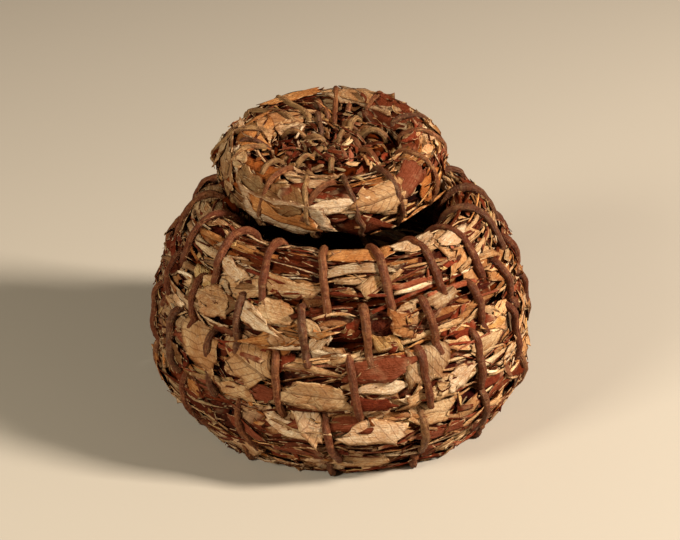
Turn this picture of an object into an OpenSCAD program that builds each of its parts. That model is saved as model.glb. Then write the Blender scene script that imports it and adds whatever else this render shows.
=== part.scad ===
// Lidded coiled basket: a thick bundle of dry leaves wound into a round pot, each round sewn to the
// one before it with a vine, and a loose lid wound and sewn the same way that lies over the mouth.
// Millimetres, +Z up. The origin is the middle of the base on the ground, and the front faces -Y.

/* [Base] */
// Thickness of the leaf bundle in the flat rounds of the base
base_coil_d = 22; // [16:0.5:26]
// Flat rounds inside the foot round
base_rounds = 3; // [2:1:4]
// Hole left in the middle where a winding starts
start_hole_d = 1; // [1:0.5:8]
// Thickness of the tip that a winding starts with, before it swells to the first round
start_tip_d = 2; // [1.5:0.5:6]
// Thickness of the foot round, which stands on the ground around the base
foot_coil_d = 24; // [18:0.5:28]

/* [Wall] */
// Thickness of the first wall round, the widest one
wall_1_coil_d = 24.4; // [18:0.2:30]
// Direction from the foot round to the first wall round, from level
wall_1_lean_angle = 60; // [40:1:90]
// Thickness of the second wall round
wall_2_coil_d = 30; // [18:0.2:32]
// Direction from the first wall round to the second
wall_2_lean_angle = 99; // [80:1:115]
// Thickness of the third wall round
wall_3_coil_d = 21.5; // [18:0.2:30]
// Direction from the second wall round to the third
wall_3_lean_angle = 95; // [80:1:120]

/* [Rim] */
// Thickness of the rim round
rim_coil_d = 26.4; // [18:0.2:32]
// Direction from the third wall round to the rim
rim_lean_angle = 125; // [95:1:140]
// Thickness of the tail where the rim ends, tucked inside the mouth
rim_tail_d = 6; // [4:0.5:12]
// Direction from the rim to its own tail
rim_tail_lean_angle = 170; // [150:1:190]

/* [Lid] */
// Thickness of the bundle in the middle of the lid
lid_centre_coil_d = 15.4; // [12:0.2:20]
// Rounds in the middle of the lid
lid_centre_rounds = 2; // [2:1:3]
// Thickness of the round at the edge of the lid
lid_edge_coil_d = 28.4; // [20:0.2:32]
// Direction from the middle rounds to the edge round, below level for a dished top
lid_edge_lean_angle = -6; // [-20:1:10]
// Thickness of the tail where the edge round ends
lid_tail_d = 4; // [3:0.5:8]
// Lid's place over the mouth, to the right
lid_shift_x = -4; // [-8:0.5:8]
// Lid's place over the mouth, towards the back
lid_shift_y = 19; // [0:0.5:22]
// Tilt of the lid, back edge up
lid_tilt = 9; // [0:0.5:16]
// Roll of the lid, left edge up
lid_roll = 0; // [-4:0.5:4]

/* [Stitching] */
// Thickness of the vine
vine_d = 4.2; // [3:0.1:5]
// How deep the vine is drawn into the bundle
vine_bed = 2; // [1:0.1:3]
// Where a stitch enters the round below, as an angle up from that round's outer face
stitch_entry_angle = 40; // [20:1:60]
// Stitches on the outer base round
base_stitches = 8; // [6:1:12]
// Stitches on the foot round
foot_stitches = 12; // [8:1:18]
// Stitches on the first wall round
wall_1_stitches = 14; // [8:1:20]
// Stitches on the second wall round
wall_2_stitches = 17; // [8:1:20]
// Stitches on the third wall round
wall_3_stitches = 18; // [8:1:20]
// Stitches on the rim
rim_stitches = 17; // [8:1:20]
// Stitches on the middle of the lid
lid_centre_stitches = 9; // [6:1:12]
// Stitches on the edge of the lid
lid_edge_stitches = 16; // [8:1:20]
// First stitch of the foot round, as a share of the step between stitches
foot_first_stitch_share = 0.65; // [0:0.05:1]
// First stitch of the first wall round
wall_1_first_stitch_share = 0.1; // [0:0.05:1]
// First stitch of the second wall round
wall_2_first_stitch_share = 0.1; // [0:0.05:1]
// First stitch of the third wall round
wall_3_first_stitch_share = 0.55; // [0:0.05:1]
// First stitch of the rim
rim_first_stitch_share = 0.65; // [0.1:0.05:0.8]
// First stitch of the lid's edge
lid_edge_first_stitch_share = 0.3; // [0.1:0.05:0.5]

/* [Clearances] */
// Gap between neighbouring rounds of one coil
coil_gap = 0.6; // [0.45:0.05:1.5]
// Gap between the lid and the rim at rest
lid_gap = 0.3; // [0.2:0.05:1]

/* [Hidden] */

leaf_colour = "#a07a4e";
rim_colour = "#96663f";
lid_colour = "#ad8452";
vine_colour = "#6f4e36";

// Sides of the bundle's section, which has a flat top and bottom, and rings in a turn
coil_sides = 8;
coil_rings = 18;
side_angle = 360 / coil_sides;

// A round starts on the left, runs level round the front, and climbs to the next one behind the pot
coil_start_angle = 185;
climb_span = 120;
level_span = 360 - climb_span;

// The vine's four-sided section has the area of a round one
vine_sides = 4;
vine_corner = vine_d / 2 * sqrt(PI / (vine_sides / 2 * sin(360 / vine_sides)));
vine_half = vine_corner * cos(180 / vine_sides);
vine_lift = vine_half - vine_bed;
vine_proud = vine_lift + vine_half;

// A winding starts as a tip at the end of its turn 0, and turn 1 is its first whole round. These are
// the turns at which the pot's coil passes to the foot, to each wall round and to the rim
start_turn = level_span / 360;
foot_turn = base_rounds + 1;
wall_1_turn = foot_turn + 1;
wall_2_turn = foot_turn + 2;
wall_3_turn = foot_turn + 3;
rim_turn = foot_turn + 4;
rim_end = rim_turn + 1;

lid_edge_turn = lid_centre_rounds + 1;
lid_end = lid_edge_turn + 1;

// Share of a turn that is sewn where the round ends in a tail
tail_sewn_share = 0.85;

// A coil is its rounds' thicknesses, the directions between them, its first height, the lowest
// height it may reach, and the side of it that faces the viewer: +1 outward, -1 inward and up
no_floor = -1000;
pot = [
    concat([start_tip_d], [for (i = [1:base_rounds]) base_coil_d],
           [foot_coil_d, wall_1_coil_d, wall_2_coil_d, wall_3_coil_d, rim_coil_d, rim_tail_d]),
    concat([for (i = [0:base_rounds]) 0],
           [wall_1_lean_angle, wall_2_lean_angle, wall_3_lean_angle, rim_lean_angle,
            rim_tail_lean_angle]),
    reach(base_coil_d, 90), 0, 1
];
lid = [
    concat([start_tip_d], [for (i = [1:lid_centre_rounds]) lid_centre_coil_d],
           [lid_edge_coil_d, lid_tail_d]),
    concat([for (i = [1:lid_centre_rounds]) 0], [lid_edge_lean_angle, 0]),
    0, no_floor, -1
];

// One loop of a stitch: the round it touches (0 its own, 1 the one below), the angle there, and its
// place as a share of the step to the next stitch
hidden_loop = [[0, 90, 0], [0, 45, 0.04], [0, 0, 0.08], [0, -45, 0.12], [1, stitch_entry_angle, 0.15],
               [0, 180, 0.55]];
open_loop = concat([[0, 135, -0.05]], hidden_loop);

function mix(a, b, s) = a + (b - a) * s;

// Half width of a section of thickness d along direction a
function reach(d, a) = d / 2 * cos((a + 360) % side_angle - side_angle / 2);

// Share of the climb to the next round, at share f of a turn
function climb(f) = (1 - cos(180 * min(1, max(0, (f * 360 - level_span) / climb_span)))) / 2;

function round_at(c, u) = min(floor(u), len(c[0]) - 2);
function thick(c, k, s) = mix(c[0][k], c[0][k + 1], s);
function lean(c, k, s) = mix(c[1][k], c[1][k + 1], s);

// Middle [radius, height] of round k at share s of its climb, each round set against the one before
function centre(c, k, s) =
    k == 0
        ? [start_hole_d / 2 + reach(thick(c, 0, s), 0) + s * (2 * reach(start_tip_d, 0) + coil_gap),
           c[2]]
        : let (a = lean(c, k - 1, s),
               step = reach(thick(c, k - 1, s), a) + reach(thick(c, k, s), a) + coil_gap)
          centre(c, k - 1, s) + step * [cos(a), sin(a)];

function turn_angle(u) = coil_start_angle + 360 * u;
function in_space(p, angle) = [p[0] * cos(angle), p[0] * sin(angle), p[1]];

// Section of a coil at turn u, in the plane of the axis, with its lowest corners on the floor
function section(c, u) =
    let (k = round_at(c, u), s = climb(u - k), m = thick(c, k, s) / 2, p = centre(c, k, s))
    [for (i = [0:coil_sides - 1])
        let (psi = (i + 0.5) * side_angle)
        [p[0] + m * cos(psi), max(c[3], p[1] + m * sin(psi))]];

function ring(c, u) = [for (p = section(c, u)) in_space(p, turn_angle(u))];

// Point of a stitch on the coil at turn u, for one entry of its loop, with the vine above the floor
function stitch_point(c, u, entry) =
    let (k = round_at(c, u), s = climb(u - k), a = lean(c, k - 1, s), j = k - entry[0],
         out = c[4] * [sin(a), -cos(a)], up = [cos(a), sin(a)],
         r = thick(c, j, s) / 2 + vine_lift,
         p = centre(c, j, s) + r * (cos(entry[1]) * out + sin(entry[1]) * up))
    in_space([p[0], max(c[3] + vine_half, p[1])], turn_angle(u));

// Route of a stitching: its loops over a share of round k, as turns with their entries
function stitch_turns(k, count, first, loop, share = 1) =
    [for (j = [0:count * share - 1], e = loop) [k + (j + first + e[2]) / count, e]];
rim_sewing = stitch_turns(rim_turn, rim_stitches, rim_first_stitch_share, open_loop, tail_sewn_share);
lid_edge_sewing =
    stitch_turns(lid_edge_turn, lid_edge_stitches, lid_edge_first_stitch_share, open_loop,
                 tail_sewn_share);
function route(c, turns) = [for (t = turns) stitch_point(c, t[0], t[1])];

function unit(v) = v / norm(v);

// Rings of the vine along a route, each square to the route and turned to lie flat on the bundle
function vine_rings(c, turns) =
    let (path = route(c, turns), last = len(path) - 1)
    [for (i = [0:last])
        let (t = unit(path[min(i + 1, last)] - path[max(i - 1, 0)]),
             angle = turn_angle(turns[i][0]), along = [-sin(angle), cos(angle), 0],
             across = unit(along - (along * t) * t), off = cross(across, t))
        [for (q = [0:vine_sides - 1])
            let (w = (q + 0.5) * 360 / vine_sides,
                 p = path[i] + vine_corner * (cos(w) * across + sin(w) * off))
            [p[0], p[1], max(c[3], p[2])]]];

// A tube through rings of points, closed at both ends
module tube(rings) {
    n = len(rings[0]);
    top = (len(rings) - 1) * n;
    walls = [for (j = [0:len(rings) - 2], i = [0:n - 1])
        let (a = j * n + i, b = j * n + (i + 1) % n)
        each [[a, b, b + n], [a, b + n, a + n]]];
    start_cap = [for (i = [1:n - 2]) [0, i + 1, i]];
    end_cap = [for (i = [1:n - 2]) [top, top + i, top + i + 1]];
    polyhedron([for (r = rings) each r], concat(walls, start_cap, end_cap));
}

// Distance from point p to the stretch from a to b
function to_stretch(p, a, b) =
    let (share = min(1, max(0, (p - a) * (b - a) / ((b - a) * (b - a)))))
    norm(p - mix(a, b, share));

// Least gap between a coil's sections one turn apart, from turn u0 to turn u1
function coil_clearance(c, u0, u1) =
    min([for (j = [u0 * coil_rings:(u1 - 1) * coil_rings])
        let (p = section(c, j / coil_rings), q = section(c, j / coil_rings + 1))
        for (v = p, i = [0:coil_sides - 1]) to_stretch(v, q[i], q[(i + 1) % coil_sides])]);

// Least gap between the points of a stitching's loops
function stitch_clearance(c, turns, loop) =
    let (path = route(c, turns), n = len(loop))
    min([for (i = [0:len(path) - 1 - n], j = [i + n - 1:min(i + 2 * n, len(path) - 1)])
        norm(path[i] - path[j])]) - 2 * vine_corner;

module coil(c, u0, u1) {
    tube([for (j = [u0 * coil_rings:u1 * coil_rings]) ring(c, j / coil_rings)]);
}

module stitching(name, c, turns, loop) {
    echo(str(name, ": least gap to itself ", stitch_clearance(c, turns, loop), " mm"));
    tube(vine_rings(c, turns));
}

// The lid's own points turned to its tilt and roll
function tilted(p) =
    let (y = p[1] * cos(lid_tilt) - p[2] * sin(lid_tilt),
         z = p[1] * sin(lid_tilt) + p[2] * cos(lid_tilt))
    [p[0] * cos(lid_roll) + z * sin(lid_roll), y, z * cos(lid_roll) - p[0] * sin(lid_roll)];

// Middles of a stretch of coil and of its vine, each as [point, half thickness], close enough to find
// where the lid and the rim meet
coil_steps = 72;
vine_steps = 4;
function middles(c, u0, u1) =
    [for (j = [u0 * coil_steps:u1 * coil_steps])
        let (u = j / coil_steps, k = round_at(c, u), s = climb(u - k))
        [in_space(centre(c, k, s), turn_angle(u)), thick(c, k, s) / 2]];
function vine_middles(c, turns) =
    let (path = route(c, turns))
    [for (i = [1:len(path) - 1], j = [1:vine_steps])
        [mix(path[i - 1], path[i], j / vine_steps), vine_d / 2]];

// Height at which the lid, moved down in its tilt, comes to rest on the rim
function rest_height() =
    let (under = concat(middles(lid, lid_edge_turn, lid_end), vine_middles(lid, lid_edge_sewing)),
         over = concat(middles(pot, wall_3_turn, rim_end), vine_middles(pot, rim_sewing)))
    max([for (p = under)
        let (e = tilted(p[0]) + [lid_shift_x, lid_shift_y, 0])
        for (q = over)
        let (x = e[0] - q[0][0], y = e[1] - q[0][1],
             drop2 = pow(p[1] + q[1] + lid_gap, 2) - x * x - y * y)
        if (drop2 > 0) q[0][2] + sqrt(drop2) - e[2]]);

module on_rim() {
    translate([lid_shift_x, lid_shift_y, rest_height()]) rotate([lid_tilt, lid_roll, 0]) children();
}

module base_coil() {
    color(leaf_colour) coil(pot, start_turn, foot_turn);
}

module wall_coil() {
    echo(str("pot coil: least gap to itself ", coil_clearance(pot, start_turn, rim_end), " mm"));
    color(leaf_colour) coil(pot, foot_turn, rim_turn);
}

module rim_coil() {
    color(rim_colour) coil(pot, rim_turn, rim_end);
}

module base_stitching() {
    color(vine_colour)
        stitching("base_stitching", pot,
                  stitch_turns(foot_turn - 1, base_stitches, 0, hidden_loop), hidden_loop);
}

module foot_stitching() {
    color(vine_colour)
        stitching("foot_stitching", pot,
                  stitch_turns(foot_turn, foot_stitches, foot_first_stitch_share, hidden_loop),
                  hidden_loop);
}

module wall_1_stitching() {
    color(vine_colour)
        stitching("wall_1_stitching", pot,
                  stitch_turns(wall_1_turn, wall_1_stitches, wall_1_first_stitch_share, hidden_loop),
                  hidden_loop);
}

module wall_2_stitching() {
    color(vine_colour)
        stitching("wall_2_stitching", pot,
                  stitch_turns(wall_2_turn, wall_2_stitches, wall_2_first_stitch_share, hidden_loop),
                  hidden_loop);
}

module wall_3_stitching() {
    color(vine_colour)
        stitching("wall_3_stitching", pot,
                  stitch_turns(wall_3_turn, wall_3_stitches, wall_3_first_stitch_share, hidden_loop),
                  hidden_loop);
}

module rim_stitching() {
    color(vine_colour)
        stitching("rim_stitching", pot, rim_sewing, open_loop);
}

module lid_coil() {
    echo(str("lid at rest: ", rest_height(), " mm up"));
    echo(str("lid coil: least gap to itself ", coil_clearance(lid, start_turn, lid_end), " mm"));
    color(lid_colour) on_rim() coil(lid, start_turn, lid_end);
}

module lid_centre_stitching() {
    color(vine_colour) on_rim()
        stitching("lid_centre_stitching", lid,
                  stitch_turns(lid_edge_turn - 1, lid_centre_stitches, 0, hidden_loop), hidden_loop);
}

module lid_edge_stitching() {
    color(vine_colour) on_rim()
        stitching("lid_edge_stitching", lid, lid_edge_sewing, open_loop);
}

base_coil();
wall_coil();
rim_coil();
base_stitching();
foot_stitching();
wall_1_stitching();
wall_2_stitching();
wall_3_stitching();
rim_stitching();
lid_coil();
lid_centre_stitching();
lid_edge_stitching();
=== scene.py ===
"""A lidded coiled basket: a bundle of torn dry leaves wound into a pot, sewn with vine, and a loose lid."""

import math

import bpy
import numpy as np
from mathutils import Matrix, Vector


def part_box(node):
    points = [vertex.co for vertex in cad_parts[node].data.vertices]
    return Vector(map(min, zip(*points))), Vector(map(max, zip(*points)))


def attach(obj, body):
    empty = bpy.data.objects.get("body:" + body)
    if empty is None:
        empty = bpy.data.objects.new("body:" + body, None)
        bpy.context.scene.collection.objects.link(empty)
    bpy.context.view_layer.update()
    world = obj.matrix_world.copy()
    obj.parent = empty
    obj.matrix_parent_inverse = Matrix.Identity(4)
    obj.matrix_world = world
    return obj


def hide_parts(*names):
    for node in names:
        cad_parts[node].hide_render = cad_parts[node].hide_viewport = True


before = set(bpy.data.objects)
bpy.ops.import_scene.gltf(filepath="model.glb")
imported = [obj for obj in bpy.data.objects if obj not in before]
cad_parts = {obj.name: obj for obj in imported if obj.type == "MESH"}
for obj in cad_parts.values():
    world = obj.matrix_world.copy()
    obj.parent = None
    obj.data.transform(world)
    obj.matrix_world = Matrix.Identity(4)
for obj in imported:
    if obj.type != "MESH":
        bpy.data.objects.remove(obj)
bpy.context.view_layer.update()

bl_info = {
    "name": "Lidded coiled basket",
    "version": (1, 0, 0),
    "blender": (4, 5, 0),
    "location": "View3D > Sidebar > Basket",
    "description": "Builds a coiled leaf basket with its lid, its stitches and its stage",
    "category": "Add Mesh",
}

MM = 0.001
PHOTO_WIDTH_PX = 680
SENSOR_WIDTH_MM = 36


def length(name, description, millimetres):
    """A length property with its default given in millimetres."""
    return bpy.props.FloatProperty(
        name=name, description=description, default=millimetres * MM, unit="LENGTH", precision=4
    )


def angle(name, description, degrees):
    """An angle property with its default given in degrees."""
    return bpy.props.FloatProperty(
        name=name, description=description, default=math.radians(degrees), subtype="ANGLE"
    )


def span(name, description, low, high):
    """A range of lengths, from which each scrap draws its own."""
    return bpy.props.FloatVectorProperty(
        name=name, description=description, size=2, default=(low * MM, high * MM), unit="LENGTH",
        precision=4,
    )


def number(name, description, default):
    """A plain number property."""
    return bpy.props.FloatProperty(name=name, description=description, default=default)


def count(name, description, default):
    """A whole number property."""
    return bpy.props.IntProperty(name=name, description=description, default=default, min=0)


def colour(name, description, default):
    """A linear colour property."""
    return bpy.props.FloatVectorProperty(
        name=name, description=description, size=3, default=default, subtype="COLOR", min=0, max=1
    )


class BasketSizes(bpy.types.PropertyGroup):
    """Sizes of the wound bundle and of the vine, the same as the solids have."""

    base_coil: length("Base bundle", "Thickness in the flat rounds of the base", 22)
    base_rounds: count("Base rounds", "Flat rounds inside the foot round", 3)
    start_hole: length("Start hole", "Hole left where a winding starts", 1)
    start_tip: length("Start tip", "Thickness of the tip that a winding starts with", 2)
    foot_coil: length("Foot bundle", "Thickness of the foot round", 24)
    wall_1_coil: length("First wall bundle", "Thickness of the first wall round", 24.4)
    wall_1_lean: angle("First wall lean", "Direction from the foot to the first wall round", 60)
    wall_2_coil: length("Second wall bundle", "Thickness of the second wall round", 30)
    wall_2_lean: angle("Second wall lean", "Direction from the first to the second wall round", 99)
    wall_3_coil: length("Third wall bundle", "Thickness of the third wall round", 21.5)
    wall_3_lean: angle("Third wall lean", "Direction from the second to the third wall round", 95)
    rim_coil: length("Rim bundle", "Thickness of the rim round", 26.4)
    rim_lean: angle("Rim lean", "Direction from the third wall round to the rim", 125)
    rim_tail: length("Rim tail", "Thickness of the tail where the rim ends", 6)
    rim_tail_lean: angle("Rim tail lean", "Direction from the rim to its own tail", 170)
    lid_centre_coil: length("Lid centre bundle", "Thickness in the middle of the lid", 15.4)
    lid_centre_rounds: count("Lid centre rounds", "Rounds in the middle of the lid", 2)
    lid_edge_coil: length("Lid edge bundle", "Thickness of the round at the lid's edge", 28.4)
    lid_edge_lean: angle("Lid edge lean", "Direction from the middle rounds to the edge", -6)
    lid_tail: length("Lid tail", "Thickness of the tail where the lid's edge ends", 4)
    lid_tilt: angle("Lid tilt", "Tilt of the lid, back edge up", 9)
    coil_gap: length("Coil gap", "Gap between neighbouring rounds", 0.6)
    coil_start: angle("Coil start", "Direction in which each round starts", 185)
    climb_span: angle("Climb span", "Part of a round over which it climbs to the next", 120)
    vine: length("Vine", "Thickness of the vine", 4.2)


class LeafSettings(bpy.types.PropertyGroup):
    """Sizes and amounts of the leaf scraps. A cover of 1 would hide the bundle once, with no overlap."""

    leaf_thickness: length("Leaf thickness", "Thickness of a dry leaf", 0.3)
    broad_length: span("Broad leaf length", "Length of the broad leaves", 28, 62)
    broad_width: span("Broad leaf width", "Width of the broad leaves", 12, 26)
    bed_cover: number("Bed cover", "How often the dark bedding leaves cover the bundle", 1.5)
    broad_cover: number("Broad leaf cover", "How often the broad leaves cover the bundle", 1.05)
    seam_cover: number("Seam cover", "How often leaves that bridge the seams of the wall cover them", 0.8)
    torn_length: span("Torn scrap length", "Length of the torn scraps", 9, 26)
    torn_width: span("Torn scrap width", "Width of the torn scraps", 4, 13)
    torn_cover: number("Torn scrap cover", "How often the torn scraps cover the bundle", 0.5)
    strip_length: span("Strip length", "Length of the strips along the bundle", 20, 75)
    strip_width: span("Strip width", "Width of the strips", 1.2, 4.6)
    strip_cover: number("Strip cover", "How often the strips cover the bundle", 0.65)
    splinter_length: span("Splinter length", "Length of the thin splinters", 8, 38)
    splinter_width: span("Splinter width", "Width of the thin splinters", 0.6, 1.5)
    splinter_cover: number("Splinter cover", "How often the splinters cover the bundle", 0.2)
    chip_length: span("Chip length", "Length of the small chips", 2.5, 8)
    chip_width: span("Chip width", "Width of the small chips", 1.5, 5)
    chip_cover: number("Chip cover", "How often the chips cover the bundle", 0.09)
    bit_length: span("Bit length", "Length of the crumpled bits in the middle of the lid", 5, 17)
    bit_width: span("Bit width", "Width of the crumpled bits", 1.8, 5)
    bit_cover: number("Bit cover", "How often the crumpled bits cover the middle of the lid", 1.2)
    seed: count("Seed", "Start of the random draws", 41)


class BasketColours(bpy.types.PropertyGroup):
    """Colours of the leaves, the vine and the stage."""

    tan: colour("Tan leaf", "Most of the broad leaves", (0.54, 0.312, 0.13))
    beige: colour("Beige leaf", "Pale bleached leaves", (0.75, 0.495, 0.255))
    grey: colour("Grey leaf", "Weathered grey-beige leaves", (0.45, 0.285, 0.136))
    rust: colour("Rust leaf", "Red-brown leaves", (0.20, 0.047, 0.017))
    wine: colour("Wine leaf", "Dark red leaves", (0.15, 0.021, 0.006))
    orange: colour("Orange leaf", "Orange-brown leaves", (0.55, 0.222, 0.058))
    straw: colour("Straw", "Golden strips and chips", (0.62, 0.36, 0.12))
    olive: colour("Olive leaf", "Olive-brown leaves", (0.25, 0.13, 0.045))
    dark: colour("Dark leaf", "Dark brown leaves", (0.07, 0.011, 0.002))
    vine_red: colour("Red vine", "Red-brown bark", (0.165, 0.05, 0.019))
    vine_grey: colour("Grey vine", "Grey-brown bark", (0.125, 0.057, 0.027))
    vine_orange: colour("Orange vine", "Bark with a lighter, more orange tone", (0.26, 0.095, 0.034))
    vine_gold: colour("Golden vine", "Golden bark, mostly on the lid", (0.42, 0.24, 0.092))
    # Painted shade: the packed leaves are near black, as the deep gaps in which they show look in shade
    packed: colour("Packed leaf", "The crushed leaves inside the bundle", (0.055, 0.008, 0.001))
    floor: colour("Floor", "The floor and the backdrop", (0.43, 0.375, 0.305))


class StageSettings(bpy.types.PropertyGroup):
    """Camera and lamps."""

    camera_distance: length("Camera distance", "From the camera to the point it looks at", 900)
    camera_elevation: angle("Camera elevation", "Height of the camera above level", 27)
    camera_aim: length("Camera aim", "Height of the point that the camera looks at", 73.4)
    focal_px: number("Focal length", "Focal length in pixels of the picture", 1720)
    key_watts: number("Key lamp", "Strength of the lamp on the right", 78)
    fill_watts: number("Fill lamp", "Strength of the lamp on the left", 18)
    sky: number("Sky", "Strength of the light from all round", 0.07)


def sizes():
    return bpy.context.scene.basket_sizes


def leaves():
    return bpy.context.scene.basket_leaves


def colours():
    return bpy.context.scene.basket_colours


# The wound bundle

SECTION_SIDES = 8
RINGS_PER_TURN = 18
TABLE_STEPS = 180
FLOOR_CLEARANCE = 0.15 * MM
ROUND, WALL_SQUARE = 2.0, 7.0
# The turns at which the bundle of a winding starts, and the leaves on it
BUNDLE_START, LEAF_START = 0.667, 0.7
# The foot stands a little to the right, and less so up to a height
FOOT_SHIFT, FOOT_SHIFT_TOP = 2.5 * MM, 60 * MM
# How much higher the lid lies than its solid, and how much thinner the pot's bundle is all round
LID_LIFT, POT_SLIM = 2.2 * MM, 0.7 * MM
# How far each round is drawn in from its solid, to leave room for the leaves on it
FOOT_DRAW, WALL_DRAWS, RIM_DRAW = 3.0 * MM, (2.6 * MM, 2.2 * MM, 1.8 * MM), 3.8 * MM
LID_DRAW = 2.5 * MM


def reach(thickness, direction):
    """Half width of the solid's eight-sided section along a direction."""
    side = 2 * math.pi / SECTION_SIDES
    return thickness / 2 * np.cos(np.mod(direction, side) - side / 2)


# Where the stitches draw leaves in: the share of a stitch, how deep and how wide
CINCH_ON_ROUND = 0.06, 1.2 * MM, 3.0 * MM
CINCH_ON_SEAM = 0.125, 2.4 * MM, 3.6 * MM


class Winding:
    """The middle of a wound bundle, in turns from its tip, with each round set against the one before."""

    cinch = CINCH_ON_ROUND

    def __init__(self, thicknesses, leans, squares, draws, start_height, side, grounded):
        self.thicknesses, self.leans, self.squares = thicknesses, leans, squares
        self.start_height, self.side, self.grounded = start_height, side, grounded
        self.draws, self.slim = draws, POT_SLIM if grounded else 0
        self.turn_matrix, self.shift = np.eye(3), np.zeros(3)
        self.last_round = len(thicknesses) - 2
        self.turns = np.arange((self.last_round + 1) * TABLE_STEPS + 1) / TABLE_STEPS
        rounds = np.minimum(self.turns.astype(int), self.last_round)
        rows = [self.middle(k, self.climb(u - k)) for u, k in zip(self.turns, rounds)]
        self.radius, self.height, self.half = np.array(rows).T
        rises = self.climb(self.turns - rounds)
        self.lean_down = np.array([self.lean(max(k - 1, 0), r) for k, r in zip(rounds, rises)])
        self.lean_up = np.array([self.lean(min(k, self.last_round - 1), r) for k, r in zip(rounds, rises)])
        self.square = np.array([squares[k] + (squares[min(k + 1, self.last_round)] - squares[k]) * r
                                for k, r in zip(rounds, rises)])

    def climb(self, share):
        level = 1 - sizes().climb_span / (2 * math.pi)
        rise = np.clip((share - level) / (1 - level), 0, 1)
        return (1 - np.cos(math.pi * rise)) / 2

    def thickness(self, k, rise):
        return self.thicknesses[k] + (self.thicknesses[k + 1] - self.thicknesses[k]) * rise

    def lean(self, k, rise):
        return self.leans[k] + (self.leans[k + 1] - self.leans[k]) * rise

    def middle(self, k, rise):
        """Radius, height and half thickness of round k at a share of its climb to the next."""
        s = sizes()
        radius = s.start_hole / 2 + reach(self.thickness(0, rise), 0)
        radius += rise * (2 * reach(s.start_tip, 0) + s.coil_gap)
        height = self.start_height
        for j in range(1, k + 1):
            a = self.lean(j - 1, rise)
            step = reach(self.thickness(j - 1, rise), a) + reach(self.thickness(j, rise), a)
            step += s.coil_gap
            radius, height = radius + step * math.cos(a), height + step * math.sin(a)
        drawn = self.draws[k] + (self.draws[k + 1] - self.draws[k]) * rise
        return radius - drawn, height, self.thickness(k, rise) / 2 - self.slim

    def at(self, turn):
        return (np.interp(turn, self.turns, column) for column in (self.radius, self.height, self.half))

    def azimuth(self, turn):
        return sizes().coil_start + 2 * math.pi * np.asarray(turn)

    def place(self, points):
        """Own points moved to where the piece lies. The pot's stay above the floor, its foot to the right."""
        placed = points @ self.turn_matrix.T + self.shift
        if self.grounded:
            placed[..., 2] = np.maximum(placed[..., 2], FLOOR_CLEARANCE)
            placed[..., 0] += FOOT_SHIFT * np.clip(1 - placed[..., 2] / FOOT_SHIFT_TOP, 0, 1)
        return placed

    def middle_line(self, turns):
        """The middle of the bundle where it lies, and its half thickness."""
        radius, height, half = self.at(turns)
        a = self.azimuth(turns)
        return self.place(np.stack([radius * np.cos(a), radius * np.sin(a), height], -1)), half

    def raw_point(self, turn, around, lift):
        radius, height, half = self.at(turn)
        r = half + lift
        out, a = radius + r * np.cos(around), self.azimuth(turn)
        return np.stack([out * np.cos(a), out * np.sin(a), height + r * np.sin(around)], -1)

    def swell(self, turn, around):
        """How much fuller than a round section the bundle is, where its neighbours squash it."""
        up = around - np.interp(turn, self.turns, self.lean_up) + math.pi / 2
        down = np.interp(turn, self.turns, self.lean_down) - math.pi / 2 - around
        n = np.where(up > down, np.interp(turn, self.turns, self.square), self.squares[-2])
        corner = np.maximum(np.maximum(up, down), 0)
        return (np.abs(np.cos(corner)) ** n + np.abs(np.sin(corner)) ** n) ** (-1 / n)

    def point(self, turn, around, lift):
        """Point on the bundle: turn along it, angle around it from outward to up, lift off its face."""
        _, _, half = self.at(turn)
        return self.place(self.raw_point(turn, around, lift + half * (self.swell(turn, around) - 1)))

    def outward(self, turn, around):
        a = self.azimuth(turn)
        own = [np.cos(around) * np.cos(a), np.cos(around) * np.sin(a), np.sin(around) + 0 * a]
        return np.stack(own, -1) @ self.turn_matrix.T

    def lay_on(self, node, tilt):
        """Turns and moves the winding onto its solid, by the middles of their boxes."""
        c, s = math.cos(tilt), math.sin(tilt)
        self.turn_matrix = np.array([[1, 0, 0], [0, c, -s], [0, s, c]])
        level = 1 - sizes().climb_span / (2 * math.pi)
        rings = np.arange(round(level * RINGS_PER_TURN), (self.last_round + 1) * RINGS_PER_TURN + 1)
        sides = (np.arange(SECTION_SIDES) + 0.5) * 2 * math.pi / SECTION_SIDES
        turn, around = np.meshgrid(rings / RINGS_PER_TURN, sides, indexing="ij")
        corners = self.raw_point(turn, around, 0).reshape(-1, 3) @ self.turn_matrix.T
        middle = (corners.min(0) + corners.max(0)) / 2
        self.shift = np.mean(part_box(node), 0) - middle + np.array([0, 0, LID_LIFT])


def pot_winding():
    s = sizes()
    coils = [s.start_tip] + [s.base_coil] * s.base_rounds
    coils += [s.foot_coil, s.wall_1_coil, s.wall_2_coil, s.wall_3_coil, s.rim_coil, s.rim_tail]
    leans = [0] * (s.base_rounds + 1)
    leans += [s.wall_1_lean, s.wall_2_lean, s.wall_3_lean, s.rim_lean, s.rim_tail_lean]
    squares = [WALL_SQUARE] * (s.base_rounds + 5) + [ROUND]
    draws = [*np.linspace(0, FOOT_DRAW, s.base_rounds + 2), *WALL_DRAWS, RIM_DRAW, RIM_DRAW]
    return Winding(coils, leans, squares, draws, reach(s.base_coil, math.pi / 2), 1, True)


def lid_winding():
    s = sizes()
    coils = [s.start_tip] + [s.lid_centre_coil] * s.lid_centre_rounds + [s.lid_edge_coil, s.lid_tail]
    leans = [0] * s.lid_centre_rounds + [s.lid_edge_lean, 0]
    squares = [ROUND] * len(leans)
    draws = [*np.linspace(0, LID_DRAW, s.lid_centre_rounds + 2), LID_DRAW]
    winding = Winding(coils, leans, squares, draws, 0, -1, False)
    winding.lay_on("lid_coil", s.lid_tilt)
    return winding


# Shader nodes


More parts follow.
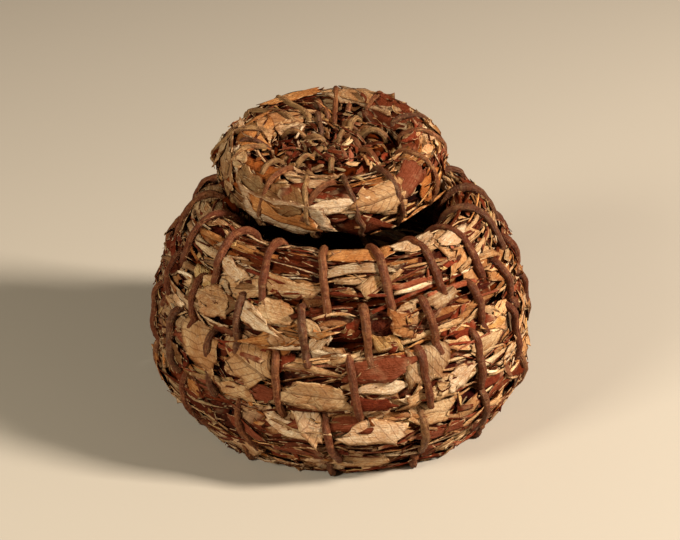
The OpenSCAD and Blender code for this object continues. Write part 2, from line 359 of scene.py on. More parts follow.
class Value:
    """A shader socket that takes part in Python sums."""

    def __init__(self, shade, socket):
        self.shade, self.socket = shade, socket

    def math(self, operation, *others):
        made = self.shade.node("ShaderNodeMath", {"operation": operation}, dict(enumerate((self, *others))))
        return made["Value"]

    def __add__(self, other):
        return self.math("ADD", other)

    __radd__ = __add__

    def __sub__(self, other):
        return self.math("SUBTRACT", other)

    def __rsub__(self, other):
        return self.math("MULTIPLY_ADD", -1.0, other)

    def __mul__(self, other):
        return self.math("MULTIPLY", other)

    __rmul__ = __mul__

    def __truediv__(self, other):
        return self.math("DIVIDE", other)

    def __abs__(self):
        return self.math("ABSOLUTE")

    def fraction(self):
        return self.math("FRACT")

    def most(self, other):
        return self.math("MAXIMUM", other)

    def step(self, low, high):
        """0 below low, 1 above high, and smooth between, for low < high."""
        made = self.shade.node("ShaderNodeMapRange", {"interpolation_type": "SMOOTHSTEP"},
                               {"Value": self, "From Min": low, "From Max": high})
        return made["Result"]


class Shade:
    """The node tree of one material."""

    def __init__(self, name):
        self.material = bpy.data.materials.new(name)
        self.material.use_nodes = True
        self.tree = self.material.node_tree
        self.surface = self.tree.nodes["Principled BSDF"]

    def link(self, sockets, values):
        for key, value in values.items():
            if isinstance(value, Value):
                self.tree.links.new(value.socket, sockets[key])
            else:
                sockets[key].default_value = value

    def node(self, kind, settings, values):
        """Adds a node, sets it up, fills its sockets and returns its outputs by name."""
        made = self.tree.nodes.new(kind)
        for key, value in settings.items():
            setattr(made, key, value)
        self.link(made.inputs, values)
        return {o.name: Value(self, o) for o in made.outputs if o.enabled}

    def attribute(self, name):
        return self.node("ShaderNodeAttribute", {"attribute_name": name}, {})

    def uv(self, name):
        """The x and y of a UV map."""
        map_xy = self.node("ShaderNodeUVMap", {"uv_map": name}, {})["UV"]
        parts = self.node("ShaderNodeSeparateXYZ", {}, {"Vector": map_xy})
        return parts["X"], parts["Y"]

    def place(self):
        return self.node("ShaderNodeTexCoord", {}, {})["Object"]

    def vector(self, x, y, z=0.0):
        return self.node("ShaderNodeCombineXYZ", {}, {"X": x, "Y": y, "Z": z})["Vector"]

    def noise(self, vector, scale, detail=3.0, roughness=0.55, distortion=0.0):
        return self.node("ShaderNodeTexNoise", {}, {
            "Vector": vector, "Scale": scale, "Detail": detail, "Roughness": roughness,
            "Distortion": distortion})["Fac"]

    def mix(self, share, a, b, blend="MIX"):
        """Two colours mixed by a share. Sockets 0, 6 and 7 are the factor and the two colours."""
        made = self.node("ShaderNodeMix", {"data_type": "RGBA", "blend_type": blend, "clamp_factor": True},
                         {0: share, 6: rgba(a), 7: rgba(b)})
        return made["Result"]

    def bump(self, height, strength, distance):
        return self.node("ShaderNodeBump", {}, {
            "Height": height, "Strength": strength, "Distance": distance})["Normal"]

    def finish(self, **values):
        names = {"base": "Base Color", "roughness": "Roughness", "normal": "Normal",
                 "specular": "Specular IOR Level"}
        self.link(self.surface.inputs, {names[k]: v for k, v in values.items()})
        return self.material


def rgba(value):
    """A plain colour with its alpha, or a socket as it is."""
    return value if isinstance(value, Value) else (*value[:3], 1.0)


# Materials. The leaf map is in millimetres: along the scrap, and across it from its midrib.

VEIN_STEP_MM = 4.6
VEIN_SLANT = 0.85
# Length that each stitch takes up in the map of the bark
STITCH_SPAN = 100.0


def leaf_material():
    sh = Shade("dry_leaf")
    tint = sh.attribute("tint")
    colour_in, veined = tint["Color"], tint["Alpha"]
    along, across = sh.uv("leaf")
    s, t = sh.uv("span")
    flat = sh.vector(along, across)
    sway = sh.noise(flat, 0.11, 2.0)
    patch = sh.noise(flat, 0.055, 4.0, 0.6, 0.6).step(0.33, 0.67)
    mottle = sh.noise(flat, 0.4, 4.0, 0.65).step(0.3, 0.7)
    grain = sh.noise(sh.vector(along * 0.06, across), 1.4, 3.0, 0.6).step(0.32, 0.68)
    specks = sh.noise(flat, 0.95, 2.0, 0.7)
    beat = ((along + abs(across) * VEIN_SLANT + sway * 7.0) / VEIN_STEP_MM).fraction()
    side_vein = 1.0 - abs(beat - 0.5).step(0.02, 0.12)
    midrib = 1.0 - abs(across + (sway - 0.5) * 2.0).step(0.25, 0.75)
    fine = sh.noise(sh.vector(along * 0.35, across), 1.9, 2.0, 0.7).step(0.3, 0.7)
    crack_map = sh.vector(along * 0.5 + sway * 2.0, across + sway * 3.0)
    crack = sh.node("ShaderNodeTexVoronoi", {"feature": "DISTANCE_TO_EDGE"},
                    {"Vector": crack_map, "Scale": 0.3})["Distance"]
    crack = (1.0 - crack.step(0.02, 0.09)) * mottle
    veins = side_vein.most(midrib) * veined
    to_side, to_end = abs(t - 0.5) * 2.0, abs(s - 0.5) * 2.0
    edge = to_side.step(0.84, 1.0).most(to_end.step(0.92, 1.0))
    # Painted shade: rim darkens each leaf towards its borders, as if shaded there
    rim = to_side.step(0.7, 1.0).most(to_end.step(0.85, 1.0))

    smoother = 1.0 - veined * 0.5
    tone = (0.6 + patch * 0.28 + mottle * 0.26) * (0.76 + grain * smoother * 0.36) * (1.0 - rim * 0.2)
    tone = tone * (0.78 + fine * smoother * 0.46)
    light = tone.step(0.2, 1.05)
    warm_shade = sh.vector(tone * (1.12 - light * 0.2), tone * (0.78 + light * 0.28),
                           tone * (0.47 + light * 0.88))
    shaded = sh.mix(1.0, colour_in, warm_shade, "MULTIPLY")
    hue = sh.noise(flat, 0.045, 3.0, 0.6)
    pale = sh.mix(1.0, colours().beige, sh.vector(tone, tone, tone), "MULTIPLY")
    bleached = sh.mix(hue.step(0.52, 0.72) * 0.4, shaded, pale)
    warmed = sh.mix((1.0 - hue.step(0.3, 0.48)) * 0.45, bleached, colours().orange, "MULTIPLY")
    rusty = sh.mix((1.0 - patch) * mottle * 0.35, warmed, colours().rust)
    veiny = sh.mix((veins * 0.46).most(crack * 0.16), rusty, colours().dark)
    spotted = sh.mix(specks.step(0.66, 0.76) * 0.6, veiny, colours().dark)
    fray = sh.noise(flat, 0.22, 2.0).step(0.5, 0.6)
    # Painted shade: where fray is low, a leaf's edge is darkened as the shaded gap beside it; where it is
    # high, the edge is paler, with torn fibres
    painted_edge_shade = sh.mix(edge * (1.0 - fray) * 0.6, spotted, colours().dark)
    worn = sh.mix(edge * fray * 0.45, painted_edge_shade, colours().beige)

    height = grain * smoother * 0.4 + mottle * 0.25 + fine * smoother * 0.3 - crack * 0.25
    height = height + side_vein * veined * 0.22 + midrib * veined * 0.9
    return sh.finish(
        base=worn,
        roughness=0.44 + mottle * 0.16 + patch * 0.16,
        normal=sh.bump(height, 1.0, 0.75 * MM),
        specular=0.04,
    )


def packed_material():
    sh = Shade("packed_leaf")
    place = sh.place()
    lumps = sh.noise(place, 160.0, 4.0, 0.65)
    # Painted shade: the packed colour is near black, for the shade deep in the gaps
    base = sh.mix(lumps.step(0.35, 0.8), colours().packed, colours().dark)
    return sh.finish(base=base, roughness=0.7 + lumps * 0.25, normal=sh.bump(lumps, 1.0, 1.5 * MM),
                     specular=0.0)


def vine_material(name, golden):
    """Bark of the vine. Its map is in millimetres along the vine and in turns around it."""
    sh = Shade(name)
    along, around = sh.uv("bark")
    turned = around * (2 * math.pi)
    cosine, sine = turned.math("COSINE"), turned.math("SINE")

    def bark(stretch, width, detail, roughness):
        """Noise along the vine and around it, without a seam."""
        return sh.noise(sh.vector(along * stretch, cosine * width, sine * width), 1.0, detail, roughness)

    streak = bark(0.09, 1.5, 4.0, 0.7).step(0.36, 0.64)
    stitch = sh.node("ShaderNodeTexWhiteNoise", {"noise_dimensions": "1D"},
                     {"W": (along / STITCH_SPAN).math("FLOOR")})
    pick = stitch["Value"]
    shade = sh.node("ShaderNodeSeparateColor", {}, {"Color": stitch["Color"]})["Green"]
    scars = bark(0.35, 0.5, 3.0, 0.7)
    ring = sh.noise(sh.vector(along * 0.9, around * 0.6), 1.0, 2.0).step(0.35, 0.65)
    c = colours()
    body = sh.mix(pick.step(0.42, 0.46), c.vine_red, c.vine_grey)
    body = sh.mix(pick.step(0.74, 0.78), body, c.vine_orange)
    body = sh.mix((1.0 - pick.step(golden, golden + 0.05)) * 0.85, body, c.vine_gold)
    body = sh.mix(shade * (0.68 - golden * 0.6), body, c.dark)
    patch = bark(0.11, 0.7, 3.0, 0.6)
    body = sh.mix(patch.step(0.5, 0.66) * 0.5, body, c.vine_grey)
    body = sh.mix((1.0 - patch.step(0.34, 0.48)) * 0.5, body, c.vine_orange)
    dark = sh.mix(streak * 0.5 + (1.0 - scars.step(0.38, 0.52)) * 0.35, body, c.dark)
    pale = sh.mix(scars.step(0.54, 0.7) * (0.22 + golden * 0.3), dark, c.vine_gold)
    height = streak * -0.9 + ring * 0.25 + scars * 0.7
    return sh.finish(base=pale, roughness=0.4 + streak * 0.25, normal=sh.bump(height, 1.0, 0.6 * MM),
                     specular=0.13)


def floor_material():
    sh = Shade("plain_floor")
    sway = sh.noise(sh.place(), 3.0, 2.0)
    base = sh.mix(sway * 0.25, colours().floor, tuple(0.9 * v for v in colours().floor))
    return sh.finish(base=base, roughness=0.85)


# Pieces


def deselect_all():
    bpy.ops.object.select_all(action="DESELECT")


def smooth(piece):
    deselect_all()
    piece.select_set(True)
    bpy.context.view_layer.objects.active = piece
    bpy.ops.object.shade_smooth()


def settle(piece, body, material, nodes=()):
    """Gives a finished piece its material and its body, and hides the solids it stands for."""
    piece.data.materials.clear()
    piece.data.materials.append(material)
    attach(piece, body)
    if nodes:
        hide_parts(*nodes)


def tube_through(name, lines, thickness, resolution):
    """Closed tubes along one or more lines, each of points and radii."""
    deselect_all()
    bpy.ops.curve.primitive_nurbs_path_add()
    piece = bpy.context.object
    piece.name, piece.data.name = name, name
    piece.data.splines.clear()
    for points, radii in lines:
        spline = piece.data.splines.new("POLY")
        spline.points.add(len(points) - 1)
        spline.points.foreach_set("co", np.c_[points, np.ones(len(points))].ravel())
        spline.points.foreach_set("radius", radii)
    piece.data.bevel_depth = thickness / 2
    piece.data.bevel_resolution = resolution
    piece.data.use_fill_caps = True
    piece.data.twist_mode = "MINIMUM"
    bpy.ops.object.convert(target="MESH")
    bpy.ops.object.mode_set(mode="EDIT")
    bpy.ops.mesh.select_all(action="SELECT")
    bpy.ops.mesh.remove_doubles(threshold=0.01 * MM)
    bpy.ops.mesh.normals_make_consistent(inside=False)
    bpy.ops.object.mode_set(mode="OBJECT")
    return piece


def roughen(piece, name, size, strength):
    """Pushes a mesh in and out by a clouded texture."""
    clouds = bpy.data.textures.new(name, "CLOUDS")
    clouds.noise_scale = size
    lumps = piece.modifiers.new("lumps", "DISPLACE")
    lumps.texture, lumps.strength, lumps.mid_level = clouds, strength, 0.5
    bpy.context.view_layer.objects.active = piece
    bpy.ops.object.modifier_apply(modifier=lumps.name)


def keep_above_floor(piece, winding):
    """Lifts what lies below the floor, on a piece that stands on it."""
    if not winding.grounded:
        return
    co = np.zeros(len(piece.data.vertices) * 3, np.float32)
    piece.data.vertices.foreach_get("co", co)
    co[2::3] = np.maximum(co[2::3], FLOOR_CLEARANCE)
    piece.data.vertices.foreach_set("co", co)


BUNDLE_STEPS = 60
BUNDLE_INSET, BUNDLE_LEAST = 3.0 * MM, 0.5 * MM
SEAM_HALF = 4.4 * MM
# Size and strength of the lumps on the bundle and on the bark
BUNDLE_LUMPS = 7 * MM, 2.4 * MM
BARK_LUMPS = 2.6 * MM, 0.9 * MM


def bundle(name, winding, first, last):
    """The crushed leaves inside a stretch of the winding and in its seams, which show as dark gaps; their
    near-black colour is painted shade.
    """
    turns = np.linspace(first, last, round((last - first) * BUNDLE_STEPS) + 1)
    middle, half = winding.middle_line(turns)
    lines = [(middle, np.maximum(half - BUNDLE_INSET, BUNDLE_LEAST) / MM)]
    seam = turns[turns <= winding.last_round]
    if len(seam) > 1:
        lean = np.interp(seam, winding.turns, winding.lean_up)
        line = winding.point(seam, lean, sizes().coil_gap / 2)
        lines.append((line, np.full(len(seam), SEAM_HALF / MM)))
    piece = tube_through(name, lines, 2 * MM, 4)
    roughen(piece, name, *BUNDLE_LUMPS)
    keep_above_floor(piece, winding)
    smooth(piece)
    return piece


class SeamFace:
    """The face that spans the seam of a round and the next one out, on which leaves bridge the seam."""

    cinch = CINCH_ON_SEAM

    def __init__(self, winding):
        self.winding, self.grounded = winding, winding.grounded

    def at(self, turn):
        return self.winding.at(turn)

    def azimuth(self, turn):
        return self.winding.azimuth(turn)

    def slope(self, turn):
        """How far the next round's middle is, the way to it and the way outward, as radius and height."""
        (r0, z0, _), (r1, z1, _) = self.at(turn), self.at(turn + 1)
        long = np.hypot(r1 - r0, z1 - z0)
        return long, ((r1 - r0) / long, (z1 - z0) / long), ((z1 - z0) / long, (r0 - r1) / long)

    def point(self, turn, around, lift):
        """Point on the face: turn along it, angle from the seam as on the round, lift off it."""
        (r0, z0, h0), (_, _, h1) = self.at(turn), self.at(turn + 1)
        long, up, out = self.slope(turn)
        way = long / 2 + around * h0
        off = h0 + (h1 - h0) * way / long + lift
        r = r0 + up[0] * way + out[0] * off
        z = z0 + up[1] * way + out[1] * off
        a = self.azimuth(turn)
        return self.winding.place(np.stack([r * np.cos(a), r * np.sin(a), z], -1))

    def outward(self, turn, around):
        """The way off the face, which is the same at every angle around."""
        _, _, out = self.slope(turn)
        a = self.azimuth(turn)
        return np.stack([out[0] * np.cos(a), out[0] * np.sin(a), out[1] + 0 * a], -1)


# Leaf scraps

# Shares of the tints in each sort
BED = {"rust": 3, "wine": 3, "dark": 1.2, "olive": 2, "tan": 2.5, "orange": 1}
BROAD = {"tan": 5, "beige": 3, "grey": 2.2, "rust": 1.4, "wine": 0.9, "orange": 0.9, "olive": 0.8}
LID_BROAD = {"tan": 3.5, "beige": 4.2, "grey": 0.8, "rust": 2, "wine": 1.2, "orange": 2.4, "olive": 1.6}
TORN = {"tan": 3.5, "beige": 2.4, "grey": 1.4, "rust": 2.4, "wine": 1.7, "orange": 1.6, "straw": 0.4,
        "dark": 1.2}
STRIP = {"tan": 3, "beige": 2.2, "grey": 1.6, "rust": 3, "wine": 1.8, "orange": 1.4, "straw": 0.6, "dark": 2}
SPLINTER = {"tan": 2, "beige": 2.4, "straw": 1.5, "rust": 1.6, "orange": 1.2, "dark": 6, "wine": 2}
CHIP = {"tan": 2, "beige": 1.5, "straw": 2, "orange": 2, "rust": 2}
BITS = {"tan": 2, "beige": 1.8, "straw": 0.8, "olive": 2.5, "rust": 2.5, "dark": 4.5, "wine": 2.5,
        "orange": 1}
# How the tints vary from scrap to scrap
LIGHTNESS, WARMTH = (0.64, 1.18), 0.04
# Painted light: the side on which the light falls most, where the leaves are painted paler, and how much
# paler they are there
LIT_SIDE, LIT_SIDE_PALER = math.radians(-28), np.array([0.85, 0.97, 1.05])
# Painted shade: the deeper a scrap lies, the darker and redder it is painted, as in the shadow of the scraps
# over it
DEPTH_SHADE, DEPTH_HUE = 0.86, np.array([0.82, 1.2, 1.6])
# Painted light of a scrap on top, from which the deeper scraps are painted darker
SURFACE_LIGHT = 1.1
# Painted shade of the bedding leaves, which darkens and reddens them as the shadowed gaps under the leaves
# over them, and the palest that a scattered scrap gets
BED_SHADE, PALEST = np.array([0.20, 0.06, 0.022]), 0.88
# Scraps lie in tiers: the step between them in widths, their shift in columns, and how far scraps stray
TIER_STEP, TIER_SHIFT, JITTER = 0.8, 0.37, 0.6
# Ranges of the veins' strength and of a scrap's stiffness, the most that an edge curls, and the creases
VEIN_RANGE, STIFFNESS = (0.3, 1.0), (0.1, 0.4)
CURL_CAP, CREASE_MM = 1.8, 0.4
# Length and width from which a scrap curls and creases in full
CURL_LENGTH, CREASE_WIDTH = 20 * MM, 10 * MM
# Ends of the scraps: the share that is pointed, the width left at a tip and where the taper starts
POINTED_SHARE, POINTED_TIP, BLUNT_TIP, TAPER_START = 0.3, (0.08, 0.4), (0.55, 1.0), (0.0, 0.6)
# How much a scrap is bowed, how its ends slant and how far they are torn back
BOW, END_SLANT, END_PULL = 0.06, 0.45, (-1, 0.25)
# Least radius that a scrap's length and its angle are reckoned with, and its greatest width in half bundles
ROOM_LEAST, SPREAD_LEAST, WIDEST = 6 * MM, 7 * MM, 1.6
# Height below which the pot's scraps follow the bundle, and over which they stiffen
SOFT_BELOW, STIFF_OVER = 1 * MM, 5 * MM
# Stray of the midrib in widths, and the range by which the map of the veins is shifted
MIDRIB_STRAY, MAP_SHIFT_MM = 0.35, 400
MEAN_STEPS, PRESS_STEPS = 50, 120
# Angle by which leaves lie past the edges of a round, and within which leaves lie that bridge a seam
SEAM_OVERLAP, SEAM_REACH = math.radians(30), math.radians(28)
# Cover of the inside of a round, as a share of the outside's
INSIDE_SHARE = 0.6


class Sort:
    """A sort of scrap: its name in the settings, its form, how it lies, its tints and its veins.

    The grid is the number of points along and across it. Lift, curl and crown are in millimetres, twist is
    in degrees, and the angle by which it may lie beyond the edges of its round is in radians.
    """

    def __init__(self, size, grid, curl, ragged, twist=0, lift=(0, 0), tints=None, veined=0.0, crown=0.0,
                 pitch=0.0, beyond=0.0):
        self.size, self.ragged, self.tints, self.veined = size, ragged, tints, veined
        self.stations, self.ranks = grid
        self.twist, self.pitch, self.beyond = math.radians(twist), pitch, beyond
        self.lift = lift[0] * MM, lift[1] * MM
        self.curl, self.crown = curl * MM, crown * MM

    def sizes(self):
        """The ranges of length and width."""
        return getattr(leaves(), f"{self.size}_length"), getattr(leaves(), f"{self.size}_width")


BED_LEAF = Sort("broad", (9, 4), 0.2, 0.4, 10, (-2.6, -1.7), BED, 0.6, beyond=SEAM_OVERLAP)
BROAD_LEAF = Sort("broad", (11, 5), 1.0, 0.4, 9, (-1.9, -0.2), BROAD, 1.0)
LID_BROAD_LEAF = Sort("broad", (11, 5), 1.0, 0.4, 9, (-1.9, -0.2), LID_BROAD, 1.0)
TORN_SCRAP = Sort("torn", (7, 4), 1.3, 0.5, 16, (-2.0, 0.1), TORN, 0.8)
STRIP_SCRAP = Sort("strip", (9, 3), 0.4, 0.3, 5, (-1.7, -0.4), STRIP, 0.15, 1.2, beyond=SEAM_OVERLAP / 2)
SPLINTER_SCRAP = Sort("splinter", (7, 2), 0.5, 0.3, 11, (-1.2, 0.2), SPLINTER)
CHIP_SCRAP = Sort("chip", (3, 3), 0.8, 0.5, 50, (-0.6, 0.5), CHIP, 0.2)
CRUMPLED_BITS = [Sort("bit", (6, 3), 0.5, 0.6, 70, lift, BITS, 0.2, 0.4, 0.2)
                 for lift in ((-1.0, 1.5), (0.5, 3.0))]
SEAM_LEAF = Sort("broad", (11, 5), 0.4, 0.4, 9, (-2.4, -0.8), BROAD, 1.0)
SEAM_SCRAP = Sort("torn", (7, 4), 0.6, 0.5, 20, (-2.2, -0.3), TORN, 0.8)
SEAM_STRIP = Sort("strip", (9, 3), 0.2, 0.3, 6, (-2.2, -0.6), STRIP, 0.15, 0.9)
PICKED_LEAF = Sort("broad", (13, 7), 0.3, 0.35)
PICKED_LIFT = 0.9 * MM


class Scraps:
    """Scraps of one sort that lie on a winding: where each lies, its size, its turn and its colour."""

    def __init__(self, turn, around, long, wide, twist, lift, tint, veined):
        self.turn, self.around, self.long, self.wide = turn, around, long, wide
        self.twist, self.lift, self.tint, self.veined = twist, lift, tint, veined

    def __len__(self):
        return len(self.turn)


def draw_tints(rng, number_of, weights):
    """A colour for each scrap by the weights of the named tints, each a little lighter or darker."""
    names = list(weights)
    shares = np.array([weights[n] for n in names], float)
    palette = np.array([getattr(colours(), n) for n in names])
    picked = palette[rng.choice(len(names), number_of, p=shares / shares.sum())]
    light = rng.uniform(*LIGHTNESS, (number_of, 1))
    warm = rng.normal(0, WARMTH, (number_of, 1)) * np.array([1, 0, -1])
    return np.clip(picked * light * (1 + warm), 0, 1)


def painted_light(winding, turn):
    """Painted light: how much paler the leaves are painted on the side on which the light falls most."""
    toward = np.maximum(np.cos(winding.azimuth(turn) - LIT_SIDE), 0)
    return 1 + LIT_SIDE_PALER * toward[:, None] ** 3


def scatter(rng, winding, row, sort, around, cover):
    """Scraps of a sort scattered over a row, from one angle around it to another."""
    first, last = row.first, row.last
    around = around[0] - sort.beyond, around[1] + sort.beyond
    long, wide = sort.sizes()
    radius, _, half = winding.at(np.linspace(first, last, MEAN_STEPS))
    area = (last - first) * 2 * math.pi * radius.mean() * half.mean() * (around[1] - around[0])
    each = (long[0] + long[1]) / 2 * (wide[0] + wide[1]) / 2
    tiers = max(1, round((around[1] - around[0]) * half.mean() / (TIER_STEP * (wide[0] + wide[1]) / 2)))
    columns = max(1, round(cover * area / each / tiers))
    tier, column = (x.ravel() for x in np.meshgrid(np.arange(tiers), np.arange(columns), indexing="ij"))
    n = tiers * columns
    share_along = (column + tier * TIER_SHIFT % 1 + rng.uniform(-JITTER, JITTER, n)) / columns
    share_around = (tier + 0.5 + rng.uniform(-JITTER, JITTER, n)) / tiers
    turn = first + (last - first) * np.clip(share_along, 0, 1)
    angle_around = around[0] + (around[1] - around[0]) * np.clip(share_around, 0, 1)
    radius, _, half = winding.at(turn)
    depth = rng.random(n)
    room = np.maximum(radius + half * np.cos(angle_around), ROOM_LEAST)
    each_long = np.minimum(rng.uniform(*long, n), room)
    each_wide = np.minimum(rng.uniform(*wide, n), WIDEST * half)
    each_twist = rng.normal(0, sort.twist, n)
    # Painted shade by depth, then painted light on the lit side
    shade = (SURFACE_LIGHT - DEPTH_SHADE * depth[:, None]) ** DEPTH_HUE
    tint = draw_tints(rng, n, sort.tints) * shade * painted_light(winding, turn)
    return Scraps(
        turn=turn,
        around=angle_around,
        long=each_long,
        wide=each_wide,
        twist=each_twist,
        lift=sort.lift[1] - (sort.lift[1] - sort.lift[0]) * depth,
        tint=tint * np.minimum(1, PALEST / tint.max(1, keepdims=True)),
        veined=np.full(n, sort.veined) * rng.uniform(*VEIN_RANGE, n),
    )


def ease(x):
    x = np.clip(x, 0, 1)
    return x * x * (3 - 2 * x)


class Press:
    """A round of the other body, which keeps the scraps that lie against it off its face."""

    def __init__(self, winding, first, last, room):
        self.line, half = winding.middle_line(np.linspace(first, last, PRESS_STEPS))
        self.reach = half + room

    def push(self, points):
        flat = points.reshape(-1, 3)
        away = np.linalg.norm(flat[:, None] - self.line[None], axis=-1)
        near = np.argmin(away - self.reach, 1)
        gap = away[np.arange(len(flat)), near]
        grow = np.maximum(self.reach[near] / np.maximum(gap, 1e-6), 1)[:, None]
        return (self.line[near] + (flat - self.line[near]) * grow).reshape(points.shape)


def cinch(winding, sewing, turn):
    """How deep the stitches of a round draw the leaves in at a turn."""
    if sewing is None:
        return 0.0
    share, depth, width = winding.cinch
    step = (turn - sewing.turn) * sewing.stitches - sewing.first - share
    radius, _, _ = winding.at(turn)
    away = np.abs(step - np.round(step)) / sewing.stitches * 2 * math.pi * radius
    return depth * np.exp(-((away / width) ** 2))


def scrap_points(rng, winding, scraps, sort, sewing, press):
    """Places of the grid points of all scraps, with torn outlines, curled edges and creases."""
    n = len(scraps)
    stations, ranks, ragged = sort.stations, sort.ranks, sort.ragged
    s = np.linspace(-1, 1, stations)[None, :, None]
    t = np.linspace(-1, 1, ranks)[None, None, :]
    col = (slice(None), None, None)
    long, wide = scraps.long[col], scraps.wide[col]

    pointed = rng.random((n, 2)) < POINTED_SHARE
    tips = np.where(pointed, rng.uniform(*POINTED_TIP, (n, 2)), rng.uniform(*BLUNT_TIP, (n, 2)))
    starts = rng.uniform(*TAPER_START, (n, 2))
    width = 1 - (1 - tips[:, 0][col]) * ease((-s - starts[:, 0][col]) / (1 - starts[:, 0][col]))
    width = width * (1 - (1 - tips[:, 1][col]) * ease((s - starts[:, 1][col]) / (1 - starts[:, 1][col])))
    notch = rng.random((n, stations, 2)) ** 1.5
    torn = 1 - ragged * (1.6 * notch + np.roll(notch, 1, 1) + np.roll(notch, -1, 1)) / 2.8
    width = width * np.where(t > 0, torn[..., 1:2], torn[..., 0:1])
    bow = rng.normal(0, BOW, n)[col] * long * (s * s - 0.33)
    across = t * wide / 2 * width + bow
    slope = rng.normal(0, END_SLANT, (n, 2, 1)) * t
    ends = rng.uniform(*END_PULL, (n, 2, ranks)) * ragged + slope
    pull = np.where(s < 0, ends[:, 0:1], ends[:, 1:2])
    along = s * (long / 2 + pull * np.abs(s) ** 3 * np.minimum(wide, long) * 0.6)

    turned = scraps.twist[col]
    da = along * np.cos(turned) - across * np.sin(turned)
    db = along * np.sin(turned) + across * np.cos(turned)

    lift = scraps.lift[col]
    corner = np.minimum(rng.exponential(1.0, (n, 4)), CURL_CAP) * sort.curl
    rise = corner[:, 0][col] * ease((-s - 0.35) / 0.65) + corner[:, 1][col] * ease((s - 0.35) / 0.65)
    rise = rise + corner[:, 2][col] * ease((-t - 0.2) / 0.8) + corner[:, 3][col] * ease((t - 0.2) / 0.8)
    rise = rise * np.minimum(1.0, long / CURL_LENGTH)
    phase, beats = rng.uniform(0, 2 * math.pi, (n, 2)), rng.uniform(1.0, 3.0, (n, 2))
    wave_along = np.sin(phase[:, 0][col] + beats[:, 0][col] * s * 3)
    wave_across = np.sin(phase[:, 1][col] + beats[:, 1][col] * t * 2)
    rise = rise + wave_along * wave_across * CREASE_MM * MM * np.minimum(1.0, wide / CREASE_WIDTH)
    rise = rise + sort.crown * rng.uniform(0.2, 1.0, n)[col] * (1 - t * t)
    rise = rise + rng.normal(0, sort.pitch, n)[col] * along

    radius, _, half = winding.at(scraps.turn)
    spread = np.maximum(radius + half * np.cos(scraps.around), SPREAD_LEAST)
    turn0, around0 = scraps.turn[col], scraps.around[col]
    turn = turn0 + da / (2 * math.pi * spread[col])
    around = around0 + db / (half[col] + lift)
    rise = rise - cinch(winding, sewing, turn)
    wrapped = winding.point(turn, around, lift + rise)

    step = 1e-4
    base = winding.point(scraps.turn, scraps.around, scraps.lift)
    tangent = winding.point(scraps.turn + step, scraps.around, scraps.lift) - base
    tangent /= np.linalg.norm(tangent, axis=-1, keepdims=True)
    normal = winding.outward(scraps.turn, scraps.around)
    side = np.cross(normal, tangent)
    wide_col = (slice(None), None, None, slice(None))
    flat = base[wide_col] + da[..., None] * tangent[wide_col] + db[..., None] * side[wide_col]
    flat = flat + rise[..., None] * normal[wide_col]
    stiff = rng.uniform(*STIFFNESS, n)[:, None, None, None]
    if winding.grounded:
        stiff = stiff * ease((flat[..., 2:] - SOFT_BELOW) / STIFF_OVER)
    points = wrapped * (1 - stiff) + flat * stiff
    if press:
        points = press.push(points)
    if winding.grounded:
        points[..., 2] = np.maximum(points[..., 2], FLOOR_CLEARANCE)
    return points, along, across


class ScrapMesh:
    """Gathers scraps of several sorts into the mesh of one piece."""

    def __init__(self):
        self.co, self.quads, self.tint, self.leaf_map, self.span_map = [], [], [], [], []
        self.cells, self.n_points, self.n_scraps = [], 0, 0

    def add(self, rng, winding, scraps, sort, sewing=None, press=None):
        n, stations, ranks = len(scraps), sort.stations, sort.ranks
        points, along, across = scrap_points(rng, winding, scraps, sort, sewing, press)
        per = stations * ranks
        i, j = np.meshgrid(np.arange(stations - 1), np.arange(ranks - 1), indexing="ij")
        first = (i * ranks + j).ravel()
        grid = np.stack([first, first + ranks, first + ranks + 1, first + 1], -1)
        quads = grid[None] + (np.arange(n) * per)[:, None, None] + self.n_points
        rgb = np.repeat(np.c_[scraps.tint, scraps.veined], per, 0)
        midrib = rng.normal(0, MIDRIB_STRAY, n)[:, None, None] * scraps.wide[:, None, None]
        shift = rng.uniform(0, MAP_SHIFT_MM, n)[:, None, None]
        leaf_xy = np.stack([along / MM + shift, (across + midrib) / MM], -1)
        sx, ty = np.meshgrid(np.linspace(0, 1, stations), np.linspace(0, 1, ranks), indexing="ij")
        self.co.append(points.reshape(-1, 3))
        self.quads.append(quads.reshape(-1, 4))
        self.tint.append(rgb)
        self.leaf_map.append(leaf_xy.reshape(-1, 2))
        self.span_map.append(np.tile(np.stack([sx, ty], -1).reshape(-1, 2), (n, 1)))
        self.cells.append(np.repeat(np.arange(n) + self.n_scraps, per))
        self.n_points += n * per
        self.n_scraps += n

    def build(self, name):
        """Makes the piece, with each scrap in its own cell of the bake map, and gives it its thickness."""
        co, quads = np.concatenate(self.co), np.concatenate(self.quads)
        mesh = bpy.data.meshes.new(name)
        mesh.from_pydata(co.tolist(), [], quads.tolist())
        corner = quads.ravel()
        span_xy = np.concatenate(self.span_map)
        cell = np.concatenate(self.cells)
        across = math.ceil(math.sqrt(self.n_scraps))
        inset = 0.04
        bake = (np.stack([cell % across, cell // across], -1) + inset + span_xy * (1 - 2 * inset)) / across
        for map_name, xy in (("OFBake", bake), ("leaf", np.concatenate(self.leaf_map)), ("span", span_xy)):
            layer = mesh.uv_layers.new(name=map_name)
            layer.data.foreach_set("uv", xy[corner].astype(np.float32).ravel())
        tint = mesh.attributes.new("tint", "FLOAT_COLOR", "POINT")
        tint.data.foreach_set("color", np.concatenate(self.tint).astype(np.float32).ravel())
        piece = bpy.data.objects.new(name, mesh)
        bpy.context.scene.collection.objects.link(piece)
        smooth(piece)
        solid = piece.modifiers.new("leaf", "SOLIDIFY")
        solid.thickness, solid.offset = leaves().leaf_thickness, -1
        bpy.ops.object.modifier_apply(modifier=solid.name)
        return piece


